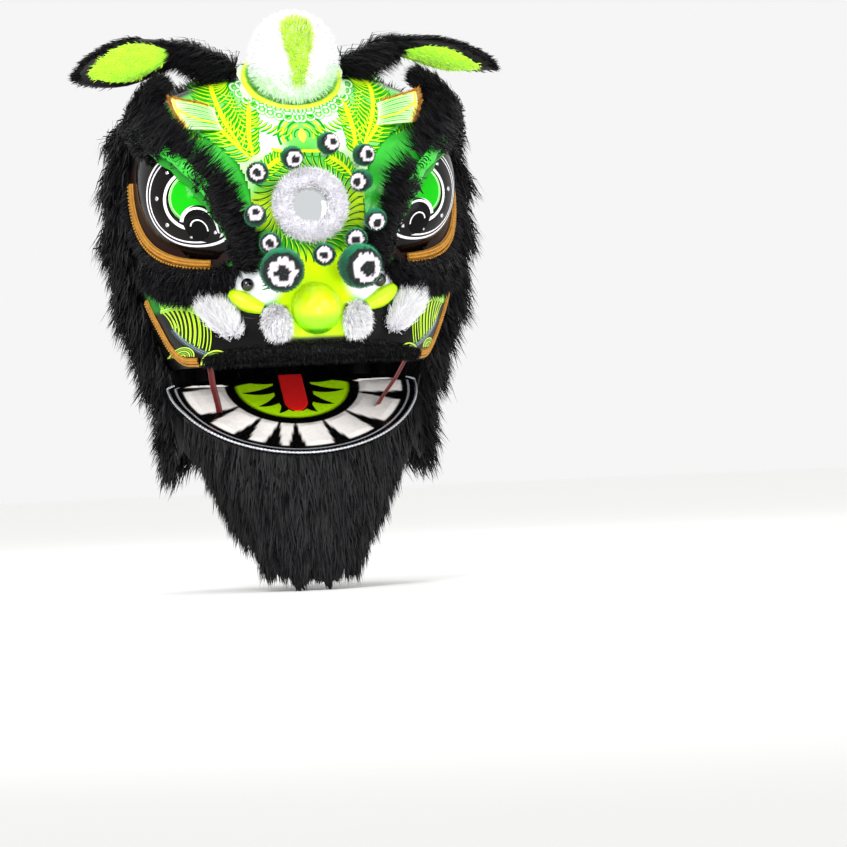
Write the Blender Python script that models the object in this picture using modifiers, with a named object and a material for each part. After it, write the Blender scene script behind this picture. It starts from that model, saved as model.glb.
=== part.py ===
"""Lion dance head: painted shell, hinged jaw, flapping ears, blinking eyelids, fur, pompoms and mirror.

Metres, +Z up. The face looks along -Y. The origin is the middle of the open underside of the shell,
where the wearer's head goes in, and +X is the side of the right ear as seen from the front.
"""

import math

import bmesh
import bpy
import numpy as np
from mathutils import Matrix, Vector
from mathutils.bvhtree import BVHTree

# Head form
HEAD_HEIGHT = 0.584
HEAD_WIDTH = 0.650
FACE_DEPTH = 0.292
BACK_DEPTH = 0.285
SHELL_WALL = 0.003
SHELL_COLUMNS = 24
SEAT_GAP = 0.0003
SECTION_STEPS = 2
MOVING_GAP = 0.0012
SEAT_SINK = 0.008

# Eyes: a dome turned about the line through the two corners of the eye
EYE_AXIS_DEPTH = 0.060
EYE_MID_RADIUS = 0.120
EYE_END_RADIUS = 0.066
EYE_WALL = 0.0025
EYE_SPAN = 0.9965
EYE_START = -42.0
EYE_END = 118.0
LID_WALL = 0.0018
LID_CLEARANCE = 0.004
LID_SLOT = 0.004
LID_REST_EDGE = -8.0
LID_WIDTH = 62.0
PUPIL_RADIUS = 0.022
PUPIL_HEIGHT = 0.0026
PUPIL_SHARE = 0.60
PUPIL_ANGLE = 20.0
TRIM_WIDTH = 0.014
TRIM_HEIGHT = 0.004

# Fur and brows
BROW_WIDTH = 0.066
BROW_HEIGHT = 0.070
UNDER_EYE_WIDTH = 0.042
UNDER_EYE_HEIGHT = 0.026
MANE_THICKNESS = 0.045
MANE_DROP = 0.185
MANE_START = 92.0

# Middle of the face
MIRROR_RADIUS = 0.040
MIRROR_THICKNESS = 0.004
MIRROR_FUR_RADIUS = 0.072
MIRROR_FUR_HEIGHT = 0.022
SMALL_POMPOM_RADIUS = 0.022
BIG_POMPOM_RADIUS = 0.043
POMPOM_STEM_RADIUS = 0.004
NOSE_WIDTH = 0.100
NOSE_HEIGHT = 0.104
NOSE_DEPTH = 0.048
BEAD_RADIUS = 0.013
LIP_WIDTH = 0.038
LIP_HEIGHT = 0.018

# Horn
HORN_RADIUS = 0.082
HORN_RISE = 0.090
COLLAR_CORD_RADIUS = 0.0055
COLLAR_PETAL_LENGTH = 0.020
COLLAR_TILT = 44.0

# Ears
EAR_SPREAD = 0.112
EAR_LENGTH = 0.305
EAR_WIDTH = 0.088
EAR_THICKNESS = 0.030
EAR_ROOT_RADIUS = 0.016
LEFT_EAR_TWIST = 8.0
RIGHT_EAR_TWIST = 62.0
EAR_LINING_THICKNESS = 0.002

# Jaw
JAW_HINGE_BACK = -0.020
JAW_HINGE_HEIGHT = 0.014
JAW_LENGTH = 0.290
JAW_WIDTH = 0.496
JAW_DROP = 0.034
JAW_WALL = 0.004
JAW_OPEN = 36.0
JAW_SIDE_SHIFT = -0.018
JAW_RIM_RADIUS = 0.003
JAW_LUG_WIDTH = 0.012
HINGE_ROD_RADIUS = 0.004
TONGUE_WIDTH = 0.050
TONGUE_LENGTH = 0.125
TONGUE_THICKNESS = 0.004
BEARD_LENGTH = 0.250
BEARD_THICKNESS = 0.045
# Lock of the beard from its outer root round the tip to the inner one: fall, depth
BEARD_SECTION = (
    (0.30, -0.35),
    (0.72, -0.30),
    (1.00, 0.15),
    (0.72, 0.55),
    (0.30, 0.80),
)
RIBBON_WIDTH = 0.017
RIBBON_THICKNESS = 0.0012

# Head form sections as shares of the named sizes above
# height, half_width, front, back, squareness
HEAD_SECTIONS = (
    (0.000, 0.772, 0.976, 0.825, 2.3),
    (0.086, 0.846, 1.000, 0.860, 2.3),
    (0.205, 0.928, 0.976, 0.919, 2.2),
    (0.342, 0.978, 0.925, 0.965, 2.2),
    (0.514, 1.000, 0.884, 1.000, 2.2),
    (0.651, 0.987, 0.808, 0.982, 2.2),
    (0.770, 0.950, 0.685, 0.919, 2.3),
    (0.856, 0.874, 0.548, 0.825, 2.4),
    (0.925, 0.717, 0.384, 0.667, 2.4),
    (0.971, 0.472, 0.223, 0.421, 2.2),
    (0.993, 0.236, 0.103, 0.193, 2.0),
)

# Corners of the eye on the head form: across, height
EYE_UPPER_CORNER = (0.915, 0.753)
EYE_LOWER_CORNER = (0.458, 0.411)

# Pompoms: across, height, how far the ball's centre stands off the face
SMALL_POMPOMS = (
    (-0.291, 0.606, 0.055),
    (-0.100, 0.650, 0.055),
    (0.117, 0.690, 0.055),
    (0.306, 0.651, 0.055),
    (0.274, 0.573, 0.055),
    (-0.315, 0.477, 0.062),
    (0.328, 0.454, 0.062),
    (0.225, 0.392, 0.055),
    (0.042, 0.338, 0.055),
    (-0.248, 0.388, 0.055),
)
BIG_POMPOMS = ((-0.201, 0.278, 0.085), (0.215, 0.282, 0.085))

# Fur and trim paths on one side of the face: across, height, lift, width share, thickness share
BROW_PATH = (
    (0.960, 0.905, 0.030, 0.55, 0.35),
    (0.935, 0.810, 0.010, 0.85, 0.70),
    (0.800, 0.725, 0.000, 1.05, 0.95),
    (0.650, 0.640, 0.000, 1.10, 1.00),
    (0.520, 0.540, 0.000, 1.05, 0.95),
    (0.445, 0.440, 0.000, 0.75, 0.70),
    (0.412, 0.362, 0.000, 0.55, 0.45),
    (0.412, 0.318, 0.000, 0.38, 0.28),
)
UNDER_EYE_PATH = (
    (0.490, 0.318, 0.000, 0.50, 0.60),
    (0.580, 0.285, 0.000, 0.85, 0.90),
    (0.720, 0.272, 0.000, 1.00, 1.00),
    (0.860, 0.285, 0.000, 0.95, 0.90),
    (0.955, 0.335, 0.000, 0.60, 0.60),
)
CHEEK_TRIM_PATH = (
    (0.985, 0.235, 0.000, 1.00, 1.00),
    (0.975, 0.150, 0.000, 1.00, 1.00),
    (0.965, 0.070, 0.000, 1.00, 1.00),
    (0.930, 0.030, 0.000, 1.00, 1.00),
    (0.850, 0.022, 0.000, 1.00, 1.00),
)
LIP_PATH = (
    (-0.800, 0.022, 0.000, 0.55, 0.55),
    (-0.500, 0.036, 0.000, 0.80, 0.90),
    (-0.200, 0.040, 0.000, 1.00, 1.00),
    (0.000, 0.042, 0.000, 1.05, 1.05),
    (0.200, 0.040, 0.000, 1.00, 1.00),
    (0.500, 0.036, 0.000, 0.80, 0.90),
    (0.800, 0.022, 0.000, 0.55, 0.55),
)
NOSTRIL_FUR_WIDTH = 0.034
NOSTRIL_FUR_HEIGHT = 0.016
NOSTRIL_FUR_PATH = (
    (0.645, 0.214, 0.000, 0.60, 0.60),
    (0.650, 0.195, 0.000, 0.95, 1.00),
    (0.625, 0.172, 0.000, 1.00, 1.00),
    (0.590, 0.145, 0.000, 0.90, 0.90),
    (0.545, 0.110, 0.000, 0.55, 0.55),
)
NOSTRIL_WING_WIDTH = 0.034
NOSTRIL_WING_HEIGHT = 0.018
NOSTRIL_WING_PATH = (
    (0.525, 0.243, 0.000, 0.60, 0.60),
    (0.485, 0.225, 0.000, 1.00, 0.95),
    (0.430, 0.205, 0.000, 1.10, 1.00),
    (0.340, 0.183, 0.000, 0.70, 0.70),
)
INNER_NOSTRIL_WIDTH = 0.048
INNER_NOSTRIL_HEIGHT = 0.020
INNER_NOSTRIL_PATH = (
    (0.262, 0.182, 0.000, 0.60, 0.60),
    (0.268, 0.150, 0.000, 1.00, 1.00),
    (0.262, 0.122, 0.000, 1.00, 1.00),
    (0.240, 0.094, 0.000, 0.60, 0.60),
)

# Horn patch: turn above level in degrees, half width
HORN_PATCH = (
    (62.0, 0.006),
    (50.0, 0.024),
    (32.0, 0.029),
    (12.0, 0.024),
    (-10.0, 0.014),
    (-34.0, 0.009),
)

# Ear sections as shares of its length, width and thickness: out, rise, width, thickness
EAR_SECTIONS = (
    (-0.046, 0.000, 0.16, 0.45),
    (0.000, 0.000, 0.34, 1.00),
    (0.090, 0.050, 0.30, 0.80),
    (0.250, 0.115, 0.36, 0.75),
    (0.400, 0.120, 0.62, 0.80),
    (0.550, 0.100, 0.92, 0.95),
    (0.700, 0.065, 1.00, 1.00),
    (0.850, 0.025, 0.78, 0.80),
    (0.960, -0.010, 0.38, 0.50),
    (1.000, -0.024, 0.08, 0.15),
)
LINING_START = 0.36
LINING_END = 0.93
EAR_SETBACK = -0.020
MANE_COLUMNS = 12
MANE_TIERS = 6
MANE_HALF_GAP = 0.4
MANE_STEP = 0.004
JAW_WIDEST = 0.045
JAW_BACK = 0.008
JAW_DISH = 0.012
JAW_LUG_SPREAD = 0.140
JAW_LUG_DEPTH = 0.040
TONGUE_BACK = 0.012
RIBBON_TURN = 50.0
RIBBON_JAW_ANGLE = 62.0
RIBBON_JAW_SHARE = 0.74
RIBBON_JAW_LIFT = 0.004
RIBBON_INSET = 0.008
MIRROR_PLACE = (0.0, 0.521)
NOSE_PLACE = 0.178
BEAD_PLACE = (0.410, 0.264)
HORN_PLACE = 0.880
HORN_SETBACK = 0.022
HORN_LIFT = 0.084
COLLAR_DROP = 0.050
PATCH_THICKNESS = 0.0025
PETAL_THICKNESS = 0.002

# Corners of the forehead plate: across, height, flare share
PLATE_INNER_LOW = (0.50, 0.790, 0.0)
PLATE_INNER_HIGH = (0.58, 0.868, 0.0)
PLATE_OUTER_LOW = (0.68, 0.772, 0.4)
PLATE_OUTER_HIGH = (0.835, 0.872, 1.0)
PLATE_FLARE = 0.030
PLATE_WALL = 0.002
PLATE_SINK = 0.007

# Felt leaf: turn in degrees and height share of its middle
LEAF_PLACE = (-84.0, 0.160)
LEAF_WIDTH = 0.026
LEAF_LENGTH = 0.048
LEAF_WALL = 0.0015
LEAF_LIFT = 0.0006
LEAF_ORANGE = (0.85, 0.38, 0.03)
GLOSS_BLACK = (0.004, 0.004, 0.004)
MIRROR_SILVER = (0.8, 0.8, 0.8)
CORD_SILVER = (0.7, 0.7, 0.7)

FUR_BLACK = (0.006, 0.006, 0.008)
PAINT_MINT = (0.78, 1.0, 0.74)
LIME = (0.60, 0.95, 0.03)
SATIN_GREEN = (0.05, 0.62, 0.04)
VELVET_GREEN = (0.0, 0.10, 0.04)
BRAID_GOLD = (0.62, 0.36, 0.10)
FUR_WHITE = (0.90, 0.90, 0.96)
EYE_BLACK = (0.012, 0.006, 0.004)
TOOTH_WHITE = (0.68, 0.63, 0.60)
TONGUE_RED = (0.60, 0.0, 0.0)
RIBBON_RED = (0.22, 0.005, 0.004)
WEDGE_STEPS = 12
WEDGE_SHARES = 8
LID_SPACE_ANGLES = (-72.0, 58.0)
LID_CHEEK_REACH = 0.012
BALL_SIDES = 16
BALL_RINGS = 10
ROD_SIDES = 12
ROUND_SIDES = 24
HALVINGS = 24
RIM_ANGLES = (30.0, 150.0)
TOOTH_SHARES = (0.35, 0.75)
TOOTH_TIP_HEIGHT = 0.6
COLLAR_SIDES = 32
COLLAR_PETAL_SHARES = (0.45, 0.8, 1.0, 0.8)
COLLAR_CORD_TURNS = (150, 90, 40)
PATCH_DEPTH = 0.004
PATCH_SHARES = (-1, -0.5, 0, 0.5, 1)
TWIST_END = 0.4
LINING_REACH = (12, 44)
MANE_TOP_TURNS = (86, 100, 115, 180)
MANE_TOP_HEIGHTS = (0.80, 0.86, 0.93, 0.955)
MANE_BACK_RISE = 0.25
MANE_DROP_SHARES = (0.95, 1.10)
MANE_TUFT_SHARES = (0.72, 1.0)
MANE_END_SHARE = 0.25
MANE_ROOT_SHARE = 0.62
MANE_TIER_POWER = 1.5
JAW_SIDES = 32
JAW_SHARES = (0.3, 0.6, 0.8, 1.0)
JAW_DISH_START = 0.6
JAW_BACK_TAPER = 0.16
JAW_LUG_AHEAD = 0.3
JAW_RIM_STEPS = (-2, 18)
TONGUE_STRAIGHT = 0.72
BEARD_STEPS = (2, 15)
BEARD_ROOT_SHARE = 0.8
BEARD_END_LENGTH = 0.45
BEARD_LENGTH_SHARES = (0.88, 1.06)
BEARD_THICK_SHARES = (0.75, 1.0)
BEARD_END_THICKNESS = 0.25
BEARD_INWARD = 0.35
RIBBON_TOP = 0.04
RIBBON_STEPS = (0.3, 0.6)
RIBBON_LIFT = 0.012


def smooth_rows(rows, steps):
    """Rows with steps - 1 more between each two, on a Catmull-Rom curve through all of them."""
    given = np.array(rows, dtype=float)
    ends = np.vstack([2 * given[0] - given[1], given, 2 * given[-1] - given[-2]])
    found = []
    for i in range(1, len(ends) - 2):
        before, a, b, after = ends[i - 1 : i + 3]
        for k in range(steps):
            t = k / steps
            curve = 2 * a + (b - before) * t + (2 * before - 5 * a + 4 * b - after) * t**2
            found.append(0.5 * (curve + (3 * a - before - 3 * b + after) * t**3))
    found.append(ends[-2])
    return np.array(found)


FINE_SECTIONS = smooth_rows(HEAD_SECTIONS, 8)


def section(height):
    """Half width, front, back and squareness of the head form at a height share."""
    share = [np.interp(height, FINE_SECTIONS[:, 0], FINE_SECTIONS[:, k]) for k in range(1, 5)]
    return share[0] * HEAD_WIDTH / 2, share[1] * FACE_DEPTH, share[2] * BACK_DEPTH, share[3]


def form_value(point):
    """Below 0 inside the head form, 0 on it and above 0 outside."""
    half_width, front, back, squareness = section(point.z / HEAD_HEIGHT)
    depth = front if point.y < 0 else back
    return (abs(point.x) / half_width) ** squareness + (abs(point.y) / depth) ** squareness - 1


def outward(point):
    """Unit normal of the head form at a point near it."""
    step = 0.001
    slope = Vector()
    for k in range(3):
        shift = Vector()
        shift[k] = step
        slope[k] = form_value(point + shift) - form_value(point - shift)
    return slope.normalized()


def around_point(turn, height, lift=0.0):
    """Point on the head form, with turn in degrees from the face towards +X and height a share."""
    half_width, front, back, squareness = section(height)
    sine, cosine = math.sin(math.radians(turn)), math.cos(math.radians(turn))
    power = 2 / squareness
    x = math.copysign(abs(sine) ** power, sine) * half_width
    y = abs(cosine) ** power * (-front if cosine > 0 else back)
    point = Vector((x, y, height * HEAD_HEIGHT))
    return point + outward(point) * lift if lift else point


def face_point(across, height, lift=0.0):
    """Point on the face, with across a share of the half width there and height a share."""
    half_width, front, _, squareness = section(height)
    y = -front * (1 - min(abs(across), 1.0) ** squareness) ** (1 / squareness)
    point = Vector((across * half_width, y, height * HEAD_HEIGHT))
    return point + outward(point) * lift if lift else point


def collection(name):
    """New collection in the scene."""
    made = bpy.data.collections.new(name)
    bpy.context.scene.collection.children.link(made)
    return made


def material(name, colour, roughness, metallic=0.0):
    """Principled material with one colour."""
    made = bpy.data.materials.new(name)
    made.use_nodes = True
    shader = made.node_tree.nodes["Principled BSDF"]
    shader.inputs["Base Color"].default_value = (*colour, 1.0)
    shader.inputs["Roughness"].default_value = roughness
    shader.inputs["Metallic"].default_value = metallic
    made.diffuse_color = (*colour, 1.0)
    return made


def new_object(name, mesh_tool, finish, group, parent=None):
    """Object from a bmesh, with its normals facing out."""
    bmesh.ops.recalc_face_normals(mesh_tool, faces=mesh_tool.faces)
    mesh = bpy.data.meshes.new(name)
    mesh_tool.to_mesh(mesh)
    mesh_tool.free()
    made = bpy.data.objects.new(name, mesh)
    group.objects.link(made)
    if finish:
        mesh.materials.append(finish)
    else:
        made.hide_render = True
        made.display_type = "WIRE"
    if parent:
        made.parent = parent
    return made


def loft(rings, closed=False):
    """bmesh skin through rings of the same number of points, with end caps or closed on itself."""
    skin = bmesh.new()
    made = [[skin.verts.new(point) for point in ring] for ring in rings]
    pairs = list(zip(made, made[1:] + made[:1])) if closed else list(zip(made, made[1:]))
    for low, high in pairs:
        for k in range(len(low)):
            n = (k + 1) % len(low)
            skin.faces.new((low[k], low[n], high[n], high[k]))
    if not closed:
        caps = [skin.faces.new(list(reversed(made[0]))), skin.faces.new(made[-1])]
        skin.normal_update()
        bmesh.ops.triangulate(skin, faces=caps)
    return skin


def cut(target, cutter, operation="DIFFERENCE"):
    """Boolean with a cutter that stays in the cutters' collection."""
    boolean = target.modifiers.new(cutter.name, "BOOLEAN")
    boolean.operation = operation
    boolean.solver = "EXACT"
    boolean.object = cutter
    return boolean


def wall(target, thickness, offset=-1.0):
    """Solidify an open surface."""
    solid = target.modifiers.new("wall", "SOLIDIFY")
    solid.thickness = thickness
    solid.offset = offset
    return solid


def empty(name, place, group, turn=None):
    """Empty on a joint's axis."""
    made = bpy.data.objects.new(name, None)
    made.location = place
    if turn:
        made.rotation_euler = turn
    group.objects.link(made)
    return made


def head_skin(lift):
    """Open surface of the head form from the rim to the top, with the rim's vertices."""
    skin = bmesh.new()
    rings = []
    for row in smooth_rows(HEAD_SECTIONS, SECTION_STEPS):
        turns = [360 * k / SHELL_COLUMNS for k in range(SHELL_COLUMNS)]
        rings.append([skin.verts.new(around_point(turn, row[0], lift)) for turn in turns])
    for low, high in zip(rings, rings[1:]):
        for k in range(SHELL_COLUMNS):
            n = (k + 1) % SHELL_COLUMNS
            skin.faces.new((low[k], low[n], high[n]))
            skin.faces.new((low[k], high[n], high[k]))
    top = skin.verts.new((0, 0, HEAD_HEIGHT + lift))
    for k in range(SHELL_COLUMNS):
        skin.faces.new((rings[-1][k], rings[-1][(k + 1) % SHELL_COLUMNS], top))
    return skin, rings[0]


def on_skin(surface, point, lift):
    """Nearest point of the shell's flat facets, lifted along the facet's normal."""
    spot, normal, _, _ = surface.find_nearest(point)
    if normal.dot(outward(point)) < 0:
        normal = -normal
    return spot + normal * lift


def build_shell(group, cutters, finish):
    """Painted shell, open underneath, and the closed form that seats what lies on it."""
    skin, _ = head_skin(0.0)
    shell = new_object("head_shell", skin, finish, group)
    wall(shell, SHELL_WALL)
    solid, rim = head_skin(SEAT_GAP)
    solid.faces.new(list(reversed(rim)))
    seat = new_object("head_form", solid, None, cutters)
    return shell, seat


def ring_about(centre, across, up, half_width, height, sink, sides):
    """Closed section: rounded on top, sunk below by the sink."""
    ring = []
    for k in range(sides):
        angle = 2 * math.pi * k / sides
        rise = math.sin(angle)
        rise = rise * height if rise > 0 else rise * sink
        ring.append(centre + across * (math.cos(angle) * half_width) + up * rise)
    return ring


def strip_frames(rows, width, height, side=1, steps=3, tufts=0.0):
    """Foot, across, up, half width and height along a path on the face."""
    path = smooth_rows(rows, steps)
    feet = [face_point(side * row[0], row[1], row[2]) for row in path]
    frames = []
    for i, row in enumerate(path):
        ahead = feet[min(i + 1, len(feet) - 1)] - feet[max(i - 1, 0)]
        up = outward(feet[i])
        across = up.cross(ahead).normalized()
        tuft = 1 + tufts * (1 if i % 2 else -1)
        frames.append((feet[i], across, up, width * row[3] * tuft / 2, height * row[4] * tuft))
    return frames


def strip(name, frames, finish, group, seat, sides=8):
    """Rounded strip through the frames, seated on the head form."""
    rings = [ring_about(foot, across, up, half, high, SEAT_SINK, sides)
             for foot, across, up, half, high in frames]
    made = new_object(name, loft(rings), finish, group)
    cut(made, seat)
    return made


def band_over(frames, reach, thickness):
    """Thin band laid over the rounded top of the frames, reach degrees to each side."""
    rings = []
    for foot, across, up, half, high in frames:
        angles = [math.radians(90 + reach * k) for k in PATCH_SHARES]
        ring = []
        for lift in (SEAT_GAP, SEAT_GAP + thickness):
            edge = [foot + across * (math.cos(a) * (half + lift)) + up * (math.sin(a) * high + lift)
                    for a in angles]
            ring += edge if lift == SEAT_GAP else list(reversed(edge))
        rings.append(ring)
    return loft(rings)


def eye_frame(side):
    """Matrix whose Z runs from the upper to the lower corner and X faces out, and half the length."""
    upper = face_point(side * EYE_UPPER_CORNER[0], EYE_UPPER_CORNER[1])
    lower = face_point(side * EYE_LOWER_CORNER[0], EYE_LOWER_CORNER[1])
    middle_height = (EYE_UPPER_CORNER[1] + EYE_LOWER_CORNER[1]) / 2
    middle_across = (EYE_UPPER_CORNER[0] + EYE_LOWER_CORNER[0]) / 2
    along = lower - upper
    half = along.length / 2
    along.normalize()
    middle = (upper + lower) / 2
    out = face_point(side * middle_across, middle_height) - middle
    out -= along * out.dot(along)
    out.normalize()
    down = along.cross(out)
    if down.z > 0:
        down = -down
    centre = middle - out * EYE_AXIS_DEPTH
    return centre, along, out, down, half


def eye_point(frame, share, angle, extra=0.0):
    """Point of the eye's turned dome: share along its axis, angle in degrees from facing out."""
    centre, along, out, down, half = frame
    radius = EYE_END_RADIUS + (EYE_MID_RADIUS - EYE_END_RADIUS) * (1 - share**2) + extra
    turn = math.radians(angle)
    return centre + along * (share * half) + (out * math.cos(turn) + down * math.sin(turn)) * radius


def eye_wedge(name, frame, extra, start, end, group, span=1.0):
    """Closed wedge of the dome's solid of turning, enlarged by extra, between two angles."""
    centre, along, _, _, half = frame
    stretch = 1 + extra / half
    rings = []
    for i in range(WEDGE_STEPS + 1):
        angle = start + (end - start) * i / WEDGE_STEPS
        ring = [centre + along * (half * stretch), centre - along * (half * stretch)]
        for k in range(WEDGE_SHARES + 1):
            share = (-1 + 2 * k / WEDGE_SHARES) * span
            point = eye_point(frame, share, angle, extra)
            ring.append(point + along * (share * half * (stretch - 1)))
        rings.append(ring)
    wedge = bmesh.new()
    ends = [wedge.verts.new(point) for point in rings[0][:2]]
    arcs = [[wedge.verts.new(point) for point in ring[2:]] for ring in rings]
    for low, high in zip(arcs, arcs[1:]):
        for k in range(WEDGE_SHARES):
            wedge.faces.new((low[k], low[k + 1], high[k + 1], high[k]))
        wedge.faces.new((ends[1], low[0], high[0]))
        wedge.faces.new((ends[0], low[WEDGE_SHARES], high[WEDGE_SHARES]))
    wedge.faces.new([ends[0], ends[1]] + arcs[0])
    wedge.faces.new([ends[0], ends[1]] + arcs[-1])
    return new_object(name, wedge, None, group)


def eye_patch(frame, shares, angles, extra):
    """Open grid on the eye's dome."""
    patch = bmesh.new()
    rows = []
    for share in shares:
        rows.append([patch.verts.new(eye_point(frame, share, angle, extra)) for angle in angles])
    for low, high in zip(rows, rows[1:]):
        for k in range(len(low) - 1):
            patch.faces.new((low[k], low[k + 1], high[k + 1], high[k]))
    return patch


def build_lid(name, frame, place, finish, group, parent):
    """Lid: a turned scoop whose end cheeks reach in to the axis on which it blinks."""
    centre, along, out, down, half = frame
    lid = bmesh.new()
    rows = []
    for k in range(7):
        angle = LID_REST_EDGE - LID_WIDTH + LID_WIDTH * k / 6
        turn = math.radians(angle)
        ray = out * math.cos(turn) + down * math.sin(turn)
        row = []
        for share in (-1, 1):
            tip = centre + along * (share * half) + ray * LID_CHEEK_REACH
            row.append(tip)
        curve = [eye_point(frame, -1 + i / 5, angle, LID_CLEARANCE) for i in range(11)]
        rows.append([row[0]] + curve + [row[1]])
    made = [[lid.verts.new(point - place) for point in row] for row in rows]
    for low, high in zip(made, made[1:]):
        for k in range(len(low) - 1):
            lid.faces.new((low[k], low[k + 1], high[k + 1], high[k]))
    scoop = new_object(name, lid, finish, group, parent)
    return scoop


def build_eye(side, label, paint, group, cutters, seat, shell):
    """Eye dome, pupil, gold braid and hinged lid of one side."""
    frame = eye_frame(side)
    centre, along, _, _, half = frame
    slot = LID_CLEARANCE + LID_WALL + LID_SLOT
    wedge = eye_wedge("lid_space_" + label, frame, slot, *LID_SPACE_ANGLES, cutters)
    cut(shell, wedge)

    shares = [(-1 + k / 4) * EYE_SPAN for k in range(9)]
    angles = [EYE_START + (EYE_END - EYE_START) * k / 12 for k in range(13)]
    plate = new_object("eye_" + label, eye_patch(frame, shares, angles, 0.0), paint["eye"], group)
    wall(plate, EYE_WALL)
    cut(plate, seat)

    radius = (eye_point(frame, PUPIL_SHARE, PUPIL_ANGLE) - centre - along * PUPIL_SHARE * half).length
    form = eye_wedge("eye_form_" + label, frame, SEAT_GAP, EYE_START, EYE_END, cutters, EYE_SPAN)
    rings = []
    for reach, lift in ((1.0, -1.0), (1.0, 1.0), (0.45, 1.0)):
        ring = []
        for k in range(16):
            turn = 2 * math.pi * k / 16
            share = PUPIL_SHARE + PUPIL_RADIUS * reach * math.cos(turn) / half
            angle = PUPIL_ANGLE + math.degrees(PUPIL_RADIUS * reach * math.sin(turn) / radius)
            ring.append(eye_point(frame, share, angle, lift * PUPIL_HEIGHT))
        rings.append(ring)
    pupil = new_object("pupil_" + label, loft(rings), paint["black"], group)
    cut(pupil, form)

    lid_empty = empty("lid_axis_" + label, centre, group)
    lid = build_lid("eyelid_" + label, frame, centre, paint["satin"], group, lid_empty)
    wall(lid, LID_WALL, 1.0)
    return frame, wedge


def braid(name, feet, toward, finish, group, seat):
    """Serrated braid through points on the head form; the teeth point away from the given centre."""
    rings = []
    for i, foot in enumerate(feet):
        up = outward(foot)
        ahead = feet[min(i + 1, len(feet) - 1)] - feet[max(i - 1, 0)]
        across = up.cross(ahead).normalized()
        if across.dot(foot - toward) < 0:
            across = -across
        tooth = TOOTH_SHARES[i % 2]
        inner = foot - across * TRIM_WIDTH / 2
        outer = foot + across * TRIM_WIDTH * tooth
        ring = [inner - up * SEAT_SINK, inner + up * TRIM_HEIGHT]
        ring += [outer + up * TRIM_HEIGHT * TOOTH_TIP_HEIGHT, outer - up * SEAT_SINK]
        rings.append(ring)
    made = new_object(name, loft(rings), finish, group)
    cut(made, seat)
    return made


def eye_rim(frame, extra, steps):
    """Points where the eye's dome, enlarged by extra, meets the head form round its lower outer side."""
    rim = []
    for i in range(steps + 1):
        share = -1 + 2 * i / steps
        low, high = RIM_ANGLES
        for _ in range(HALVINGS):
            middle = (low + high) / 2
            if form_value(eye_point(frame, share, middle, extra)) > 0:
                low = middle
            else:
                high = middle
        rim.append(eye_point(frame, share, low, extra))
    return rim


def ball(radius, segments, rings, place, stretch=(1.0, 1.0, 1.0)):
    """bmesh ball, stretched along the axes and moved to its place."""
    made = bmesh.new()
    bmesh.ops.create_uvsphere(made, u_segments=segments, v_segments=rings, radius=radius)
    matrix = Matrix.Translation(place) @ Matrix.Diagonal((*stretch, 1.0))
    bmesh.ops.transform(made, matrix=matrix, verts=made.verts)
    return made


def rod(radius, segments, start, end, radius_end=None):
    """bmesh rod between two points."""
    made = bmesh.new()
    line = end - start
    bmesh.ops.create_cone(
        made, cap_ends=True, segments=segments, radius1=radius,
        radius2=radius if radius_end is None else radius_end, depth=line.length,
    )
    turn = Vector((0, 0, 1)).rotation_difference(line.normalized()).to_matrix().to_4x4()
    bmesh.ops.transform(made, matrix=Matrix.Translation((start + end) / 2) @ turn, verts=made.verts)
    return made


def build_pompoms(paint, group, cutters, seat):
    """Velvet balls, each fused to the spring stem that stands it off the face."""
    jobs = [("pompom_%02d" % (i + 1), row, SMALL_POMPOM_RADIUS, 10, 7)
            for i, row in enumerate(SMALL_POMPOMS)]
    jobs += [("big_pompom_" + label, row, BIG_POMPOM_RADIUS, 14, 9)
             for label, row in zip(("left", "right"), BIG_POMPOMS)]
    for name, (across, height, standoff), radius, segments, rings in jobs:
        centre = face_point(across, height, standoff)
        foot = face_point(across, height, -SEAT_SINK)
        made = new_object(name, ball(radius, segments, rings, centre), paint["velvet"], group)
        stem = new_object(name + "_stem", rod(POMPOM_STEM_RADIUS, 6, foot, centre), None, cutters)
        cut(made, stem, "UNION")
        cut(made, seat)


def build_mirror(paint, group, seat):
    """Round mirror in its ring of white fur."""
    foot = face_point(*MIRROR_PLACE)
    up = outward(foot)
    back = foot - up * SEAT_SINK
    glass = rod(MIRROR_RADIUS, ROUND_SIDES, back, foot + up * MIRROR_THICKNESS)
    made = new_object("mirror", glass, paint["mirror"], group)
    cut(made, seat)
    side = up.cross(Vector((0, 0, 1))).normalized()
    rise = side.cross(up).normalized()
    gap = 2 * SEAT_GAP
    half = (MIRROR_FUR_RADIUS - MIRROR_RADIUS - gap) / 2
    rings = []
    for k in range(ROUND_SIDES):
        angle = 2 * math.pi * k / ROUND_SIDES
        ray = side * math.cos(angle) + rise * math.sin(angle)
        rings.append(ring_about(foot + ray * (MIRROR_RADIUS + gap + half), ray, up, half,
                                MIRROR_FUR_HEIGHT, SEAT_SINK * 1.5, 8))
    fur = new_object("mirror_fur", loft(rings, closed=True), paint["white fur"], group)
    cut(fur, seat)


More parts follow.
